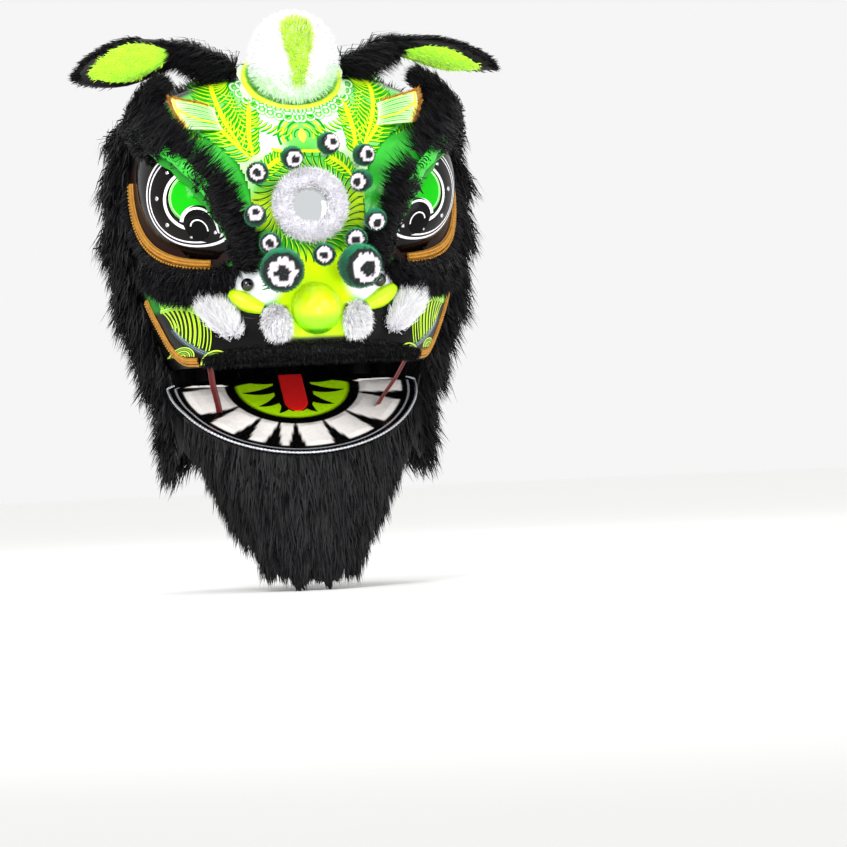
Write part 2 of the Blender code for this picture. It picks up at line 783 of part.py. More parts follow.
def build_nose(paint, group, seat):
    """Bulb of the nose, its wings, the white fur round the nostrils and the two beads."""
    place = face_point(0.0, NOSE_PLACE)
    bulb = ball(1.0, BALL_SIDES, BALL_RINGS, place, (NOSE_WIDTH / 2, NOSE_DEPTH, NOSE_HEIGHT / 2))
    made = new_object("nose", bulb, paint["lime"], group)
    cut(made, seat)
    for side, label in ((-1, "left"), (1, "right")):
        for name, rows, width, height, finish in (
            ("nostril_wing_", NOSTRIL_WING_PATH, NOSTRIL_WING_WIDTH, NOSTRIL_WING_HEIGHT, "lime"),
            ("nostril_fur_", NOSTRIL_FUR_PATH, NOSTRIL_FUR_WIDTH, NOSTRIL_FUR_HEIGHT, "white fur"),
            ("inner_nostril_", INNER_NOSTRIL_PATH, INNER_NOSTRIL_WIDTH, INNER_NOSTRIL_HEIGHT, "white fur"),
        ):
            strip(name + label, strip_frames(rows, width, height, side), paint[finish], group, seat)
        spot = face_point(side * BEAD_PLACE[0], BEAD_PLACE[1], BEAD_RADIUS * 0.6)
        bead = new_object("nose_bead_" + label, ball(BEAD_RADIUS, 12, 8, spot), paint["black"], group)
        cut(bead, seat)


def build_horn(paint, group, cutters, seat):
    """White fur ball on top, its lime patch, and the tilted collar of cord and petals."""
    base = face_point(0.0, HORN_PLACE)
    centre = base + Vector((0, HORN_SETBACK, HORN_LIFT))
    stretch = (1.0, 1.0, HORN_RISE / HORN_RADIUS)
    horn_ball = ball(HORN_RADIUS, BALL_SIDES, BALL_RINGS, centre, stretch)
    horn = new_object("horn", horn_ball, paint["white fur"], group)
    cut(horn, seat)
    larger = 1 + SEAT_GAP / HORN_RADIUS
    form = ball(HORN_RADIUS * larger, BALL_SIDES, BALL_RINGS, centre, stretch)
    horn_form = new_object("horn_form", form, None, cutters)
    rings = []
    for row in smooth_rows(HORN_PATCH, 2):
        turn = math.radians(row[0])
        ring = []
        for depth, shares in ((-PATCH_DEPTH, PATCH_SHARES), (PATCH_THICKNESS, PATCH_SHARES[::-1])):
            for share in shares:
                sway = share * row[1] / HORN_RADIUS
                ray = Vector((math.sin(sway), -math.cos(sway) * math.cos(turn), math.sin(turn)))
                ray.z *= stretch[2]
                ring.append(centre + ray.normalized() * (ray.length * HORN_RADIUS + depth))
        rings.append(ring)
    patch = new_object("horn_patch", loft(rings), paint["lime"], group)
    cut(patch, horn_form)

    tilt = math.radians(COLLAR_TILT)
    axis = Vector((0, -math.sin(tilt), math.cos(tilt)))
    front = Vector((0, -math.cos(tilt), -math.sin(tilt)))
    middle = centre - axis * COLLAR_DROP
    rings = []
    for k in range(COLLAR_SIDES):
        angle = 2 * math.pi * k / COLLAR_SIDES
        ray = Vector((1, 0, 0)) * math.sin(angle) + front * math.cos(angle)
        petal = COLLAR_PETAL_LENGTH * COLLAR_PETAL_SHARES[k % 4]
        ring = []
        for turn in COLLAR_CORD_TURNS:
            a = math.radians(turn)
            out = HORN_RADIUS + COLLAR_CORD_RADIUS * (1 + math.cos(a))
            ring.append(middle + ray * out + axis * math.sin(a) * COLLAR_CORD_RADIUS)
        outer = HORN_RADIUS + 2 * COLLAR_CORD_RADIUS + petal
        ring.append(middle + ray * outer + axis * PETAL_THICKNESS / 2)
        ring.append(middle + ray * outer - axis * PETAL_THICKNESS / 2)
        for turn in COLLAR_CORD_TURNS[::-1]:
            a = -math.radians(turn)
            out = HORN_RADIUS + COLLAR_CORD_RADIUS * (1 + math.cos(a))
            ring.append(middle + ray * out + axis * math.sin(a) * COLLAR_CORD_RADIUS)
        rings.append(ring)
    collar = new_object("horn_collar", loft(rings, closed=True), paint["lime"], group)
    cut(collar, seat)
    cut(collar, horn_form)


def build_ear(side, label, twist, paint, group, cutters, surface):
    """Fur ear that flaps on its ball root, with the lime lining on its face."""
    spot, normal, _, _ = surface.ray_cast(Vector((side * EAR_SPREAD, EAR_SETBACK, 1)), Vector((0, 0, -1)))
    hinge = spot + normal * (EAR_ROOT_RADIUS + SEAT_GAP)
    holder = empty("ear_axis_" + label, hinge, group)
    rows = smooth_rows(EAR_SECTIONS, 2)
    path = [Vector((side * row[0] * EAR_LENGTH, 0, row[1] * EAR_LENGTH)) for row in rows]
    rings = []
    lining = []
    for i, row in enumerate(rows):
        ahead = (path[min(i + 1, len(path) - 1)] - path[max(i - 1, 0)]).normalized()
        turn = math.radians(twist) * min(1.0, max(0.0, row[0] / TWIST_END))
        broad = Vector((0, 1, 0)).cross(ahead) * -side
        facing = Vector((0, -1, 0))
        width = broad * math.cos(turn) + facing * math.sin(turn)
        depth = facing * math.cos(turn) - broad * math.sin(turn)
        half, thick = row[2] * EAR_WIDTH / 2, row[3] * EAR_THICKNESS / 2
        rings.append(ring_about(path[i], width, depth, half, thick, thick, 10))
        if LINING_START <= row[0] <= LINING_END:
            share = math.sin(math.pi * (row[0] - LINING_START) / (LINING_END - LINING_START))
            reach = math.radians(LINING_REACH[0] + LINING_REACH[1] * share)
            angles = [math.pi / 2 + reach * k for k in (-1, -0.5, 0, 0.5, 1)]
            low = [path[i] + width * math.cos(a) * half + depth * (math.sin(a) * thick + 2 * SEAT_GAP)
                   for a in angles]
            high = [point + depth * EAR_LINING_THICKNESS for point in low]
            lining.append(low + list(reversed(high)))
    ear = new_object("ear_" + label, loft(rings), paint["fur"], group, holder)
    root = ball(EAR_ROOT_RADIUS, 16, 12, Vector())
    cut(ear, new_object("ear_root_" + label, root, None, cutters, holder), "UNION")
    new_object("ear_lining_" + label, loft(lining), paint["lime"], group, holder)


def build_mane(side, label, paint, group, seat):
    """Ruff of fur round the side and back, in tiers of locks, hanging below the rim."""
    rings = []
    for i in range(MANE_COLUMNS + 1):
        share = i / MANE_COLUMNS
        turn = MANE_START + (180 - MANE_START - MANE_HALF_GAP) * share
        top = float(np.interp(turn, MANE_TOP_TURNS, MANE_TOP_HEIGHTS))
        drop = MANE_DROP * (1 - MANE_BACK_RISE * share) * MANE_DROP_SHARES[i % 2]
        tuft = MANE_THICKNESS * MANE_TUFT_SHARES[i % 2]
        outer = []
        inner = []
        full = top + drop / HEAD_HEIGHT
        heights = [top - full * (k / MANE_TIERS) ** MANE_TIER_POWER for k in range(MANE_TIERS + 1)]
        for k, height in enumerate(heights):
            foot = around_point(side * turn, max(height, 0.0))
            ray = outward(foot)
            if height < 0:
                ray = Vector((ray.x, ray.y, 0)).normalized()
                foot = around_point(side * turn, 0.0) + Vector((0, 0, height * HEAD_HEIGHT))
            tip = tuft * (MANE_END_SHARE if k in (0, MANE_TIERS) else 1.0)
            root = foot + ray * tip * MANE_ROOT_SHARE
            sink = 2 * SEAT_GAP if height < 0 else -SEAT_SINK
            inner.append(foot + ray * sink)
            outer.append(foot + ray * tip)
            if 0 < k < MANE_TIERS:
                outer.append(root - Vector((0, 0, MANE_STEP)))
        rings.append(outer + list(reversed(inner)))
    made = new_object("mane_" + label, loft(rings), paint["fur"], group)
    cut(made, seat)


def jaw_outline(angle, share=1.0):
    """Point of the jaw's half-ellipse outline in its own plane; 90 degrees is the tip."""
    turn = math.radians(angle)
    half, front = JAW_WIDTH / 2, JAW_LENGTH - JAW_WIDEST
    if math.sin(turn) >= 0:
        x, ahead = half * math.cos(turn), JAW_WIDEST + front * math.sin(turn)
    else:
        x = half * math.cos(turn) * (1 + JAW_BACK_TAPER * math.sin(turn))
        ahead = JAW_WIDEST + (JAW_WIDEST - JAW_BACK) * math.sin(turn)
    x, ahead = x * share, JAW_WIDEST + (ahead - JAW_WIDEST) * share
    rise = max(0.0, (share - JAW_DISH_START) / (1 - JAW_DISH_START)) ** 2
    dish = JAW_DISH * rise * max(0.0, math.sin(turn))
    return Vector((x + JAW_SIDE_SHIFT, -ahead, dish - JAW_DROP))


def build_jaw(paint, group, cutters, surface):
    """Jaw plate with its lugs, tongue, rim cord and beard, all turning on the hinge rod."""
    hinge = Vector((0, JAW_HINGE_BACK, JAW_HINGE_HEIGHT))
    holder = empty("jaw_axis", hinge, group, (math.radians(JAW_OPEN), 0, 0))
    place = Matrix.Translation(hinge) @ Matrix.Rotation(math.radians(JAW_OPEN), 4, "X")
    count = JAW_SIDES
    plate = bmesh.new()
    centre = plate.verts.new(jaw_outline(90, 0.0))
    rows = [[plate.verts.new(jaw_outline(360 * k / count, share)) for k in range(count)]
            for share in JAW_SHARES]
    for k in range(count):
        n = (k + 1) % count
        plate.faces.new((centre, rows[0][n], rows[0][k]))
        for low, high in zip(rows, rows[1:]):
            plate.faces.new((low[k], low[n], high[n], high[k]))
    jaw = new_object("jaw", plate, paint["teeth"], group, holder)
    for face in jaw.data.polygons:
        if face.normal.z < 0:
            jaw.data.flip_normals()
            break
    wall(jaw, JAW_WALL)
    for side, label in ((-1, "left"), (1, "right")):
        lug = bmesh.new()
        bmesh.ops.create_cube(lug, size=1.0)
        height = JAW_DROP + HINGE_ROD_RADIUS + JAW_WALL * 1.5
        move = Matrix.Translation((side * JAW_LUG_SPREAD + JAW_SIDE_SHIFT, -JAW_LUG_DEPTH * JAW_LUG_AHEAD,
                                   HINGE_ROD_RADIUS + JAW_WALL - height / 2))
        size = Matrix.Diagonal((JAW_LUG_WIDTH, JAW_LUG_DEPTH, height, 1.0))
        bmesh.ops.transform(lug, matrix=move @ size, verts=lug.verts)
        cut(jaw, new_object("jaw_lug_" + label, lug, None, cutters, holder), "UNION")
    reach = Vector((HEAD_WIDTH / 2, 0, 0))
    bore = rod(HINGE_ROD_RADIUS + MOVING_GAP / 2, ROD_SIDES, -reach, reach)
    cut(jaw, new_object("jaw_bore", bore, None, cutters, holder))
    hinge_rod = new_object("jaw_hinge_rod", rod(HINGE_ROD_RADIUS, ROD_SIDES, hinge - reach, hinge + reach),
                           paint["black"], group)
    solid, rim = head_skin(-SHELL_WALL - 2 * SEAT_GAP)
    solid.faces.new(list(reversed(rim)))
    cut(hinge_rod, new_object("inner_form", solid, None, cutters), "INTERSECT")

    tongue = bmesh.new()
    straight = TONGUE_BACK + TONGUE_LENGTH * TONGUE_STRAIGHT
    tip = TONGUE_LENGTH * (1 - TONGUE_STRAIGHT)
    outline = [(TONGUE_WIDTH / 2, TONGUE_BACK), (TONGUE_WIDTH / 2, straight)]
    for k in range(1, 8):
        turn = math.pi * k / 8
        outline.append((TONGUE_WIDTH / 2 * math.cos(turn), straight + tip * math.sin(turn)))
    outline += [(-TONGUE_WIDTH / 2, straight), (-TONGUE_WIDTH / 2, TONGUE_BACK)]
    low = [tongue.verts.new((x + JAW_SIDE_SHIFT, -y, SEAT_GAP - JAW_DROP)) for x, y in outline]
    high = [tongue.verts.new((x + JAW_SIDE_SHIFT, -y, SEAT_GAP + TONGUE_THICKNESS - JAW_DROP))
            for x, y in outline]
    tongue.faces.new(low)
    tongue.faces.new(high)
    for k in range(len(low)):
        n = (k + 1) % len(low)
        tongue.faces.new((low[k], low[n], high[n], high[k]))
    new_object("tongue", tongue, paint["red"], group, holder)

    rings = []
    first, last = JAW_RIM_STEPS
    for k in range(first, last + 1):
        point = jaw_outline(360 * k / count)
        before, after = jaw_outline(360 * (k - 1) / count), jaw_outline(360 * (k + 1) / count)
        across = (after - before).cross(Vector((0, 0, 1))).normalized()
        across = across if across.dot(point - jaw_outline(90, 0.0)) > 0 else -across
        middle = point + across * (JAW_RIM_RADIUS + 2 * SEAT_GAP) - Vector((0, 0, JAW_WALL / 2))
        rings.append(ring_about(middle, across, Vector((0, 0, 1)), JAW_RIM_RADIUS, JAW_RIM_RADIUS,
                                JAW_RIM_RADIUS, 6))
    new_object("jaw_rim", loft(rings), paint["silver"], group, holder)

    rings = []
    under = Vector((0, 0, -JAW_WALL - 2 * SEAT_GAP))
    back = place.inverted()
    for k in range(*BEARD_STEPS):
        angle = 360 * k / count
        edge = place @ (jaw_outline(angle, 1.0) + under)
        root = place @ (jaw_outline(angle, BEARD_ROOT_SHARE) + under)
        width = math.sin(math.radians(angle))
        length = BEARD_LENGTH * (BEARD_END_LENGTH + (1 - BEARD_END_LENGTH) * width)
        length *= BEARD_LENGTH_SHARES[k % 2]
        thick = BEARD_THICKNESS * BEARD_THICK_SHARES[k % 2]
        thick *= BEARD_END_THICKNESS + (1 - BEARD_END_THICKNESS) * width
        inward = Vector((-(edge.x - JAW_SIDE_SHIFT) * BEARD_INWARD, 0, 0))
        down = Vector((0, 0, -length))
        deep = root - edge
        deep.z = 0
        deep = deep.normalized() * thick
        ring = [edge]
        ring += [edge + down * fall + deep * depth + inward * fall for fall, depth in BEARD_SECTION]
        ring.append(root)
        rings.append([back @ point for point in ring])
    new_object("beard", loft(rings), paint["fur"], group, holder)

    normal = (place.to_3x3() @ Vector((0, 0, 1))).normalized()
    for side, label in ((-1, "left"), (1, "right")):
        top = around_point(side * RIBBON_TURN, RIBBON_TOP, -RIBBON_INSET)
        rim = around_point(side * RIBBON_TURN, 0.0, -RIBBON_INSET)
        end = place @ jaw_outline(90 - side * RIBBON_JAW_ANGLE, RIBBON_JAW_SHARE) + normal * RIBBON_JAW_LIFT
        face = outward(rim)
        face.z = 0
        across = face.normalized().cross(Vector((0, 0, 1))).normalized() * RIBBON_WIDTH / 2
        rings = []
        path = [top, rim, *(rim.lerp(end, share) for share in RIBBON_STEPS), end + normal * RIBBON_LIFT, end]
        for i, point in enumerate(path):
            back_off = normal * RIBBON_THICKNESS if i == 5 else -face * RIBBON_THICKNESS
            if i > 3:
                across = (across - normal * across.dot(normal)).normalized() * RIBBON_WIDTH / 2
            if i < 2:
                ring = [on_skin(surface, point + sway, -SHELL_WALL - SEAT_GAP - RIBBON_THICKNESS * back)
                        for sway, back in ((-across, 0), (across, 0), (across, 1), (-across, 1))]
            else:
                ring = [point - across, point + across, point + across + back_off,
                        point - across + back_off]
            rings.append(ring)
        new_object("ribbon_" + label, loft(rings), paint["ribbon"], group)


def build_plate(side, label, paint, group, seat):
    """Painted plate that flares out at the upper corner of the forehead."""
    patch = bmesh.new()
    rows = []
    for i in range(6):
        s = i / 5
        row = []
        for j in range(4):
            t = j / 3
            inner = np.array(PLATE_INNER_LOW) * (1 - t) + np.array(PLATE_INNER_HIGH) * t
            outer = np.array(PLATE_OUTER_LOW) * (1 - t) + np.array(PLATE_OUTER_HIGH) * t
            spot = inner * (1 - s) + outer * s
            lift = spot[2] * PLATE_FLARE - PLATE_SINK * (1 - s)
            row.append(patch.verts.new(face_point(side * spot[0], spot[1], lift)))
        rows.append(row)
    for low, high in zip(rows, rows[1:]):
        for j in range(3):
            patch.faces.new((low[j], low[j + 1], high[j + 1], high[j]))
    made = new_object("forehead_plate_" + label, patch, paint["shell"], group)
    if made.data.polygons[0].normal.y > 0:
        made.data.flip_normals()
    wall(made, PLATE_WALL, 1.0)
    cut(made, seat)


def build_leaf(paint, group, surface):
    """Small felt leaf glued to the left cheek in front of the mane."""
    patch = bmesh.new()
    middle = patch.verts.new(on_skin(surface, around_point(*LEAF_PLACE), LEAF_LIFT))
    count = 12
    edge = []
    for k in range(count):
        angle = 2 * math.pi * k / count
        width = LEAF_WIDTH / 2 * math.sin(angle) * (1 - 0.35 * math.cos(angle))
        turn = LEAF_PLACE[0] + math.degrees(width / (HEAD_WIDTH / 2))
        height = LEAF_PLACE[1] + LEAF_LENGTH / 2 * math.cos(angle) / HEAD_HEIGHT
        edge.append(patch.verts.new(on_skin(surface, around_point(turn, height), LEAF_LIFT)))
    for k in range(count):
        patch.faces.new((middle, edge[k], edge[(k + 1) % count]))
    leaf = new_object("side_leaf", patch, paint["leaf"], group)
    if leaf.data.polygons[0].normal.x > 0:
        leaf.data.flip_normals()
    wall(leaf, LEAF_WALL, 1.0)


def main():
    for old in list(bpy.data.objects):
        bpy.data.objects.remove(old, do_unlink=True)
    parts = collection("lion_dance_head")
    cutters = collection("cutters")
    paint = {
        "shell": material("painted papier-mache", PAINT_MINT, 0.35),
        "lime": material("lime gloss paint", LIME, 0.3),
        "satin": material("green satin", SATIN_GREEN, 0.35),
        "velvet": material("green velvet", VELVET_GREEN, 0.9),
        "fur": material("black fur", FUR_BLACK, 0.7),
        "white fur": material("white fur", FUR_WHITE, 0.9),
        "gold": material("gold braid", BRAID_GOLD, 0.45, 0.6),
        "eye": material("eye lacquer", EYE_BLACK, 0.2),
        "black": material("black gloss", GLOSS_BLACK, 0.1),
        "mirror": material("mirror glass", MIRROR_SILVER, 0.05, 1.0),
        "teeth": material("jaw paint", TOOTH_WHITE, 0.4),
        "red": material("red felt", TONGUE_RED, 0.6),
        "ribbon": material("red ribbon", RIBBON_RED, 0.4),
        "leaf": material("orange felt", LEAF_ORANGE, 0.8),
        "silver": material("silver cord", CORD_SILVER, 0.35, 0.7),
    }
    shell, seat = build_shell(parts, cutters, paint["shell"])
    skin, _ = head_skin(0.0)
    bmesh.ops.recalc_face_normals(skin, faces=skin.faces)
    surface = BVHTree.FromBMesh(skin)
    skin.free()
    for side, label, twist in ((-1, "left", LEFT_EAR_TWIST), (1, "right", RIGHT_EAR_TWIST)):
        frame, wedge = build_eye(side, label, paint, parts, cutters, seat, shell)
        rim = eye_rim(frame, LID_CLEARANCE + LID_WALL + LID_SLOT + TRIM_WIDTH / 2, 30)
        braid("eye_braid_" + label, rim, frame[0], paint["gold"], parts, seat)
        brow_frames = strip_frames(BROW_PATH, BROW_WIDTH, BROW_HEIGHT, side, 3, 0.06)
        brow = strip("brow_" + label, brow_frames, paint["fur"], parts, seat, 8)
        cut(brow, wedge)
        ribbon = band_over(brow_frames[5:13], 20, RIBBON_THICKNESS)
        new_object("brow_ribbon_" + label, ribbon, paint["satin"], parts)
        fur = strip_frames(UNDER_EYE_PATH, UNDER_EYE_WIDTH, UNDER_EYE_HEIGHT, side, 4, 0.05)
        strip("under_eye_fur_" + label, fur, paint["fur"], parts, seat)
        cheek = smooth_rows(CHEEK_TRIM_PATH, 5)
        feet = [face_point(side * row[0], row[1]) for row in cheek]
        braid("cheek_braid_" + label, feet, face_point(0.0, 0.2), paint["gold"], parts, seat)
        build_plate(side, label, paint, parts, seat)
        build_mane(side, label, paint, parts, seat)
        build_ear(side, label, twist, paint, parts, cutters, surface)
    lip = strip_frames(LIP_PATH, LIP_WIDTH, LIP_HEIGHT, 1, 3, 0.05)
    strip("lip_fur", lip, paint["fur"], parts, seat)
    build_mirror(paint, parts, seat)
    build_nose(paint, parts, seat)
    build_horn(paint, parts, cutters, seat)
    build_pompoms(paint, parts, cutters, seat)
    build_jaw(paint, parts, cutters, surface)
    build_leaf(paint, parts, surface)


if __name__ == "__main__":
    main()
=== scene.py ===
"""Lion dance head: fur, painted shell, lacquered eyes, velvet pompoms, mirror, horn, ears and jaw.

Metres, +Z up, the face looks along -Y. Every surface is worked out with numpy on the packed frame.
"""

import math

import bpy
import numpy as np
from bpy.props import FloatProperty, FloatVectorProperty, IntProperty, PointerProperty
from mathutils import Matrix, Vector


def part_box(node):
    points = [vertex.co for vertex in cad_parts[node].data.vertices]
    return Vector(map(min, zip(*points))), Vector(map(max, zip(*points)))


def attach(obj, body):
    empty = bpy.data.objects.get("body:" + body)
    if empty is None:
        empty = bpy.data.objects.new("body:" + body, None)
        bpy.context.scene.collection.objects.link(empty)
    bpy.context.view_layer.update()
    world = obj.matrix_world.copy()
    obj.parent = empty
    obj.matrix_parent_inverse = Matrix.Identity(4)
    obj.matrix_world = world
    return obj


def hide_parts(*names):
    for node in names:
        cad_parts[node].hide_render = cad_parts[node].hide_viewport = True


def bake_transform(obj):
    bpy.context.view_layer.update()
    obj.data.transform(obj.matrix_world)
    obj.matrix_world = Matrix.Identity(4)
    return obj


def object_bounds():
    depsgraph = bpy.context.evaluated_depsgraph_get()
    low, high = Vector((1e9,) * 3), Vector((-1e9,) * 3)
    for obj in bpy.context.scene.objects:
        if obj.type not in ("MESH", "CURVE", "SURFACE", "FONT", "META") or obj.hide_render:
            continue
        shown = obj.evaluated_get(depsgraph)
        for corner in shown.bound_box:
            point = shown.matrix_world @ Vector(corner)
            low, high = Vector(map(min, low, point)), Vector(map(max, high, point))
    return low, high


bl_info = {
    "name": "Lion dance head",
    "version": (1, 0, 0),
    "blender": (4, 5, 0),
    "location": "3D View > Sidebar > Lion head",
    "description": "Dresses the frame of a lion dance head with fur, paint, lacquer and trims",
    "category": "Object",
}

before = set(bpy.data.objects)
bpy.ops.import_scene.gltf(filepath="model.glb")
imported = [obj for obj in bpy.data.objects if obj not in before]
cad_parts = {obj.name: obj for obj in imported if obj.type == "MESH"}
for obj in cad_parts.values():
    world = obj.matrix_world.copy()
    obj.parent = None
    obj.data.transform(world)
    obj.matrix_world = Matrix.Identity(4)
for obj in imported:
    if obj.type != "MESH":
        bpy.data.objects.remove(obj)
CAD_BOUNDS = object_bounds()

HEAD_HEIGHT = 0.584
HEAD_WIDTH = 0.650
FACE_DEPTH = 0.292
BACK_DEPTH = 0.285
SHELL_WALL = 0.003
HEAD_SECTIONS = (
    # height, half width, front, back (each a share), squareness
    (0.000, 0.772, 0.976, 0.825, 2.3),
    (0.086, 0.846, 1.000, 0.860, 2.3),
    (0.205, 0.928, 0.976, 0.919, 2.2),
    (0.342, 0.978, 0.925, 0.965, 2.2),
    (0.514, 1.000, 0.884, 1.000, 2.2),
    (0.651, 0.987, 0.808, 0.982, 2.2),
    (0.770, 0.950, 0.685, 0.919, 2.3),
    (0.856, 0.874, 0.548, 0.825, 2.4),
    (0.925, 0.717, 0.384, 0.667, 2.4),
    (0.971, 0.472, 0.223, 0.421, 2.2),
    (0.993, 0.236, 0.103, 0.193, 2.0),
)
EYE_AXIS_DEPTH = 0.060
EYE_MID_RADIUS = 0.120
EYE_END_RADIUS = 0.066
EYE_UPPER_CORNER = (0.915, 0.753)
EYE_LOWER_CORNER = (0.458, 0.411)
LID_EDGE = -8.0
LID_WIDTH = 62.0
LID_CLEARANCE = 0.004
LID_SLOT = 0.0098
BRAID_WIDTH = 0.014

JAW_HINGE = (0.0, -0.020, 0.014)
JAW_OPEN = 36.0
JAW_LENGTH = 0.290
JAW_WIDTH = 0.496
JAW_DROP = 0.034
JAW_WALL = 0.004
JAW_SHIFT = -0.018
JAW_WIDEST = 0.045
JAW_BACK = 0.008
JAW_DISH = 0.012

UP = np.array([0.0, 0.0, 1.0])
CAMERA_RIGHT = np.array([0.985, -0.174, 0.0])
CAMERA_TOWARD = np.array([-0.174, -0.985, 0.0])
PIXEL = 0.002
FUR_PROUD = 0.026


def settings():
    """The head's settings in the scene."""
    return bpy.context.scene.lion_head


def linear(code):
    """sRGB hex to linear: each channel is divided by 12.92 below 0.04045, else raised to 2.4."""
    value = np.array([int(code[i : i + 2], 16) / 255 for i in (1, 3, 5)])
    return np.where(value <= 0.04045, value / 12.92, ((value + 0.055) / 1.055) ** 2.4)


def unit(v):
    """Vectors divided by their length."""
    return v / np.maximum(np.linalg.norm(v, axis=-1, keepdims=True), 1e-12)


def catmull(rows, steps):
    """Catmull-Rom curve through the rows, with steps parts between each two."""
    given = np.asarray(rows, float)
    ends = np.vstack([2 * given[0] - given[1], given, 2 * given[-1] - given[-2]])
    t = (np.arange(steps) / steps)[None, :, None]
    p0, p1, p2, p3 = (ends[k : len(given) - 1 + k][:, None, :] for k in range(4))
    curve = 2 * p1 + (p2 - p0) * t + (2 * p0 - 5 * p1 + 4 * p2 - p3) * t**2
    curve = 0.5 * (curve + (3 * p1 - p0 - 3 * p2 + p3) * t**3)
    return np.vstack([curve.reshape(-1, given.shape[1]), given[-1]])


FINE = catmull(HEAD_SECTIONS, 8)


def section(height):
    """Half width, front, back and squareness of the head form at a height share, by interpolation."""
    share = [np.interp(height, FINE[:, 0], FINE[:, k]) for k in range(1, 5)]
    return share[0] * HEAD_WIDTH / 2, share[1] * FACE_DEPTH, share[2] * BACK_DEPTH, share[3]


def form_value(p):
    """Superellipse |x/w|^n + |y/d|^n - 1 at the point's height: below 0 inside the head form."""
    width, front, back, power = section(p[..., 2] / HEAD_HEIGHT)
    depth = np.where(p[..., 1] < 0, front, back)
    return (np.abs(p[..., 0]) / width) ** power + (np.abs(p[..., 1]) / depth) ** power - 1


def outward(p):
    """Unit gradient of the form's value, by central differences of 1 mm."""
    slope = [form_value(p + 0.001 * axis) - form_value(p - 0.001 * axis) for axis in np.eye(3)]
    return unit(np.stack(slope, axis=-1))


def around(turn, height, lift=0.0):
    """Superellipse point: x = w sin^(2/n), y = -d cos^(2/n) of the turn, lifted along the normal."""
    width, front, back, power = section(height)
    sine, cosine = np.sin(np.radians(turn)), np.cos(np.radians(turn))
    x = np.sign(sine) * np.abs(sine) ** (2 / power) * width
    y = np.abs(cosine) ** (2 / power) * np.where(cosine > 0, -front, back)
    p = np.stack(np.broadcast_arrays(x, y, np.asarray(height) * HEAD_HEIGHT), axis=-1)
    return p + outward(p) * np.asarray(lift)[..., None]


def on_face(x, z, lift=0.0):
    """Front of the head form above a point of the plane seen from the front, in metres."""
    width, front, _, power = section(z / HEAD_HEIGHT)
    y = -front * (1 - np.minimum(np.abs(x) / width, 1.0) ** power) ** (1 / power)
    p = np.stack(np.broadcast_arrays(x, y, z), axis=-1)
    return p + outward(p) * np.asarray(lift)[..., None]


def face_point(across, height, lift=0.0):
    """Front point with across a share of the half width at that height share."""
    width = section(np.asarray(height, float))[0]
    return on_face(np.asarray(across) * width, np.asarray(height, float) * HEAD_HEIGHT, lift)


def grid_faces(rows, columns, wrap=False, start=0):
    """Quads of a grid of rows by columns, closed round the columns if wrap."""
    i = np.arange(rows - 1)[:, None]
    j = np.arange(columns if wrap else columns - 1)[None, :]
    n = (j + 1) % columns
    quads = np.stack(np.broadcast_arrays(i * columns + j, i * columns + n,
                                         (i + 1) * columns + n, (i + 1) * columns + j), axis=-1)
    return quads.reshape(-1, 4) + start


def new_mesh(name, verts, faces, finish, body="head", replaces=(), slot=None, paint=None):
    """Object from a vertex array and a list of face arrays, with a colour per vertex."""
    mesh = bpy.data.meshes.new(name)
    verts = np.asarray(verts, float).reshape(-1, 3)
    faces = [np.asarray(f, int) for f in faces if len(f)]
    loops = np.concatenate([f.reshape(-1) for f in faces])
    sizes = np.concatenate([np.full(len(f), f.shape[1]) for f in faces])
    mesh.vertices.add(len(verts))
    mesh.vertices.foreach_set("co", verts.reshape(-1))
    mesh.loops.add(len(loops))
    mesh.loops.foreach_set("vertex_index", loops)
    mesh.polygons.add(len(sizes))
    mesh.polygons.foreach_set("loop_start", np.concatenate([[0], np.cumsum(sizes)[:-1]]))
    mesh.polygons.foreach_set("use_smooth", np.full(len(sizes), True))
    mesh.update(calc_edges=True)
    if paint is not None:
        layer = mesh.color_attributes.new("paint", "FLOAT_COLOR", "POINT")
        rgba = np.ones((len(verts), 4))
        rgba[:, :3] = np.asarray(paint).reshape(-1, 3)
        layer.data.foreach_set("color", rgba.reshape(-1))
    mesh.materials.append(finish)
    mesh.validate()
    made = bpy.data.objects.new(name, mesh)
    bpy.context.scene.collection.objects.link(made)
    if body:
        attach(made, body)
    if replaces:
        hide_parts(*replaces)
    return made


def cad_mesh(node):
    """Vertices and triangles of a frame node, with doubled corners merged."""
    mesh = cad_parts[node].data
    mesh.calc_loop_triangles()
    verts = np.empty(len(mesh.vertices) * 3)
    mesh.vertices.foreach_get("co", verts)
    tris = np.empty(len(mesh.loop_triangles) * 3, dtype=np.int32)
    mesh.loop_triangles.foreach_get("vertices", tris)
    verts, tris = verts.reshape(-1, 3), tris.reshape(-1, 3)
    _, first, same = np.unique(np.round(verts, 6), axis=0, return_index=True, return_inverse=True)
    tris = same.reshape(-1)[tris]
    keep = (tris[:, 0] != tris[:, 1]) & (tris[:, 1] != tris[:, 2]) & (tris[:, 0] != tris[:, 2])
    return verts[first], tris[keep]


def add_node(tree, kind, settings=None, links=None):
    """Shader node with its settings by name and its links by input name."""
    node = tree.nodes.new(kind)
    for key, value in (settings or {}).items():
        if key in node.inputs:
            node.inputs[key].default_value = value
        else:
            setattr(node, key, value)
    for key, source in (links or {}).items():
        tree.links.new(source, node.inputs[key])
    return node


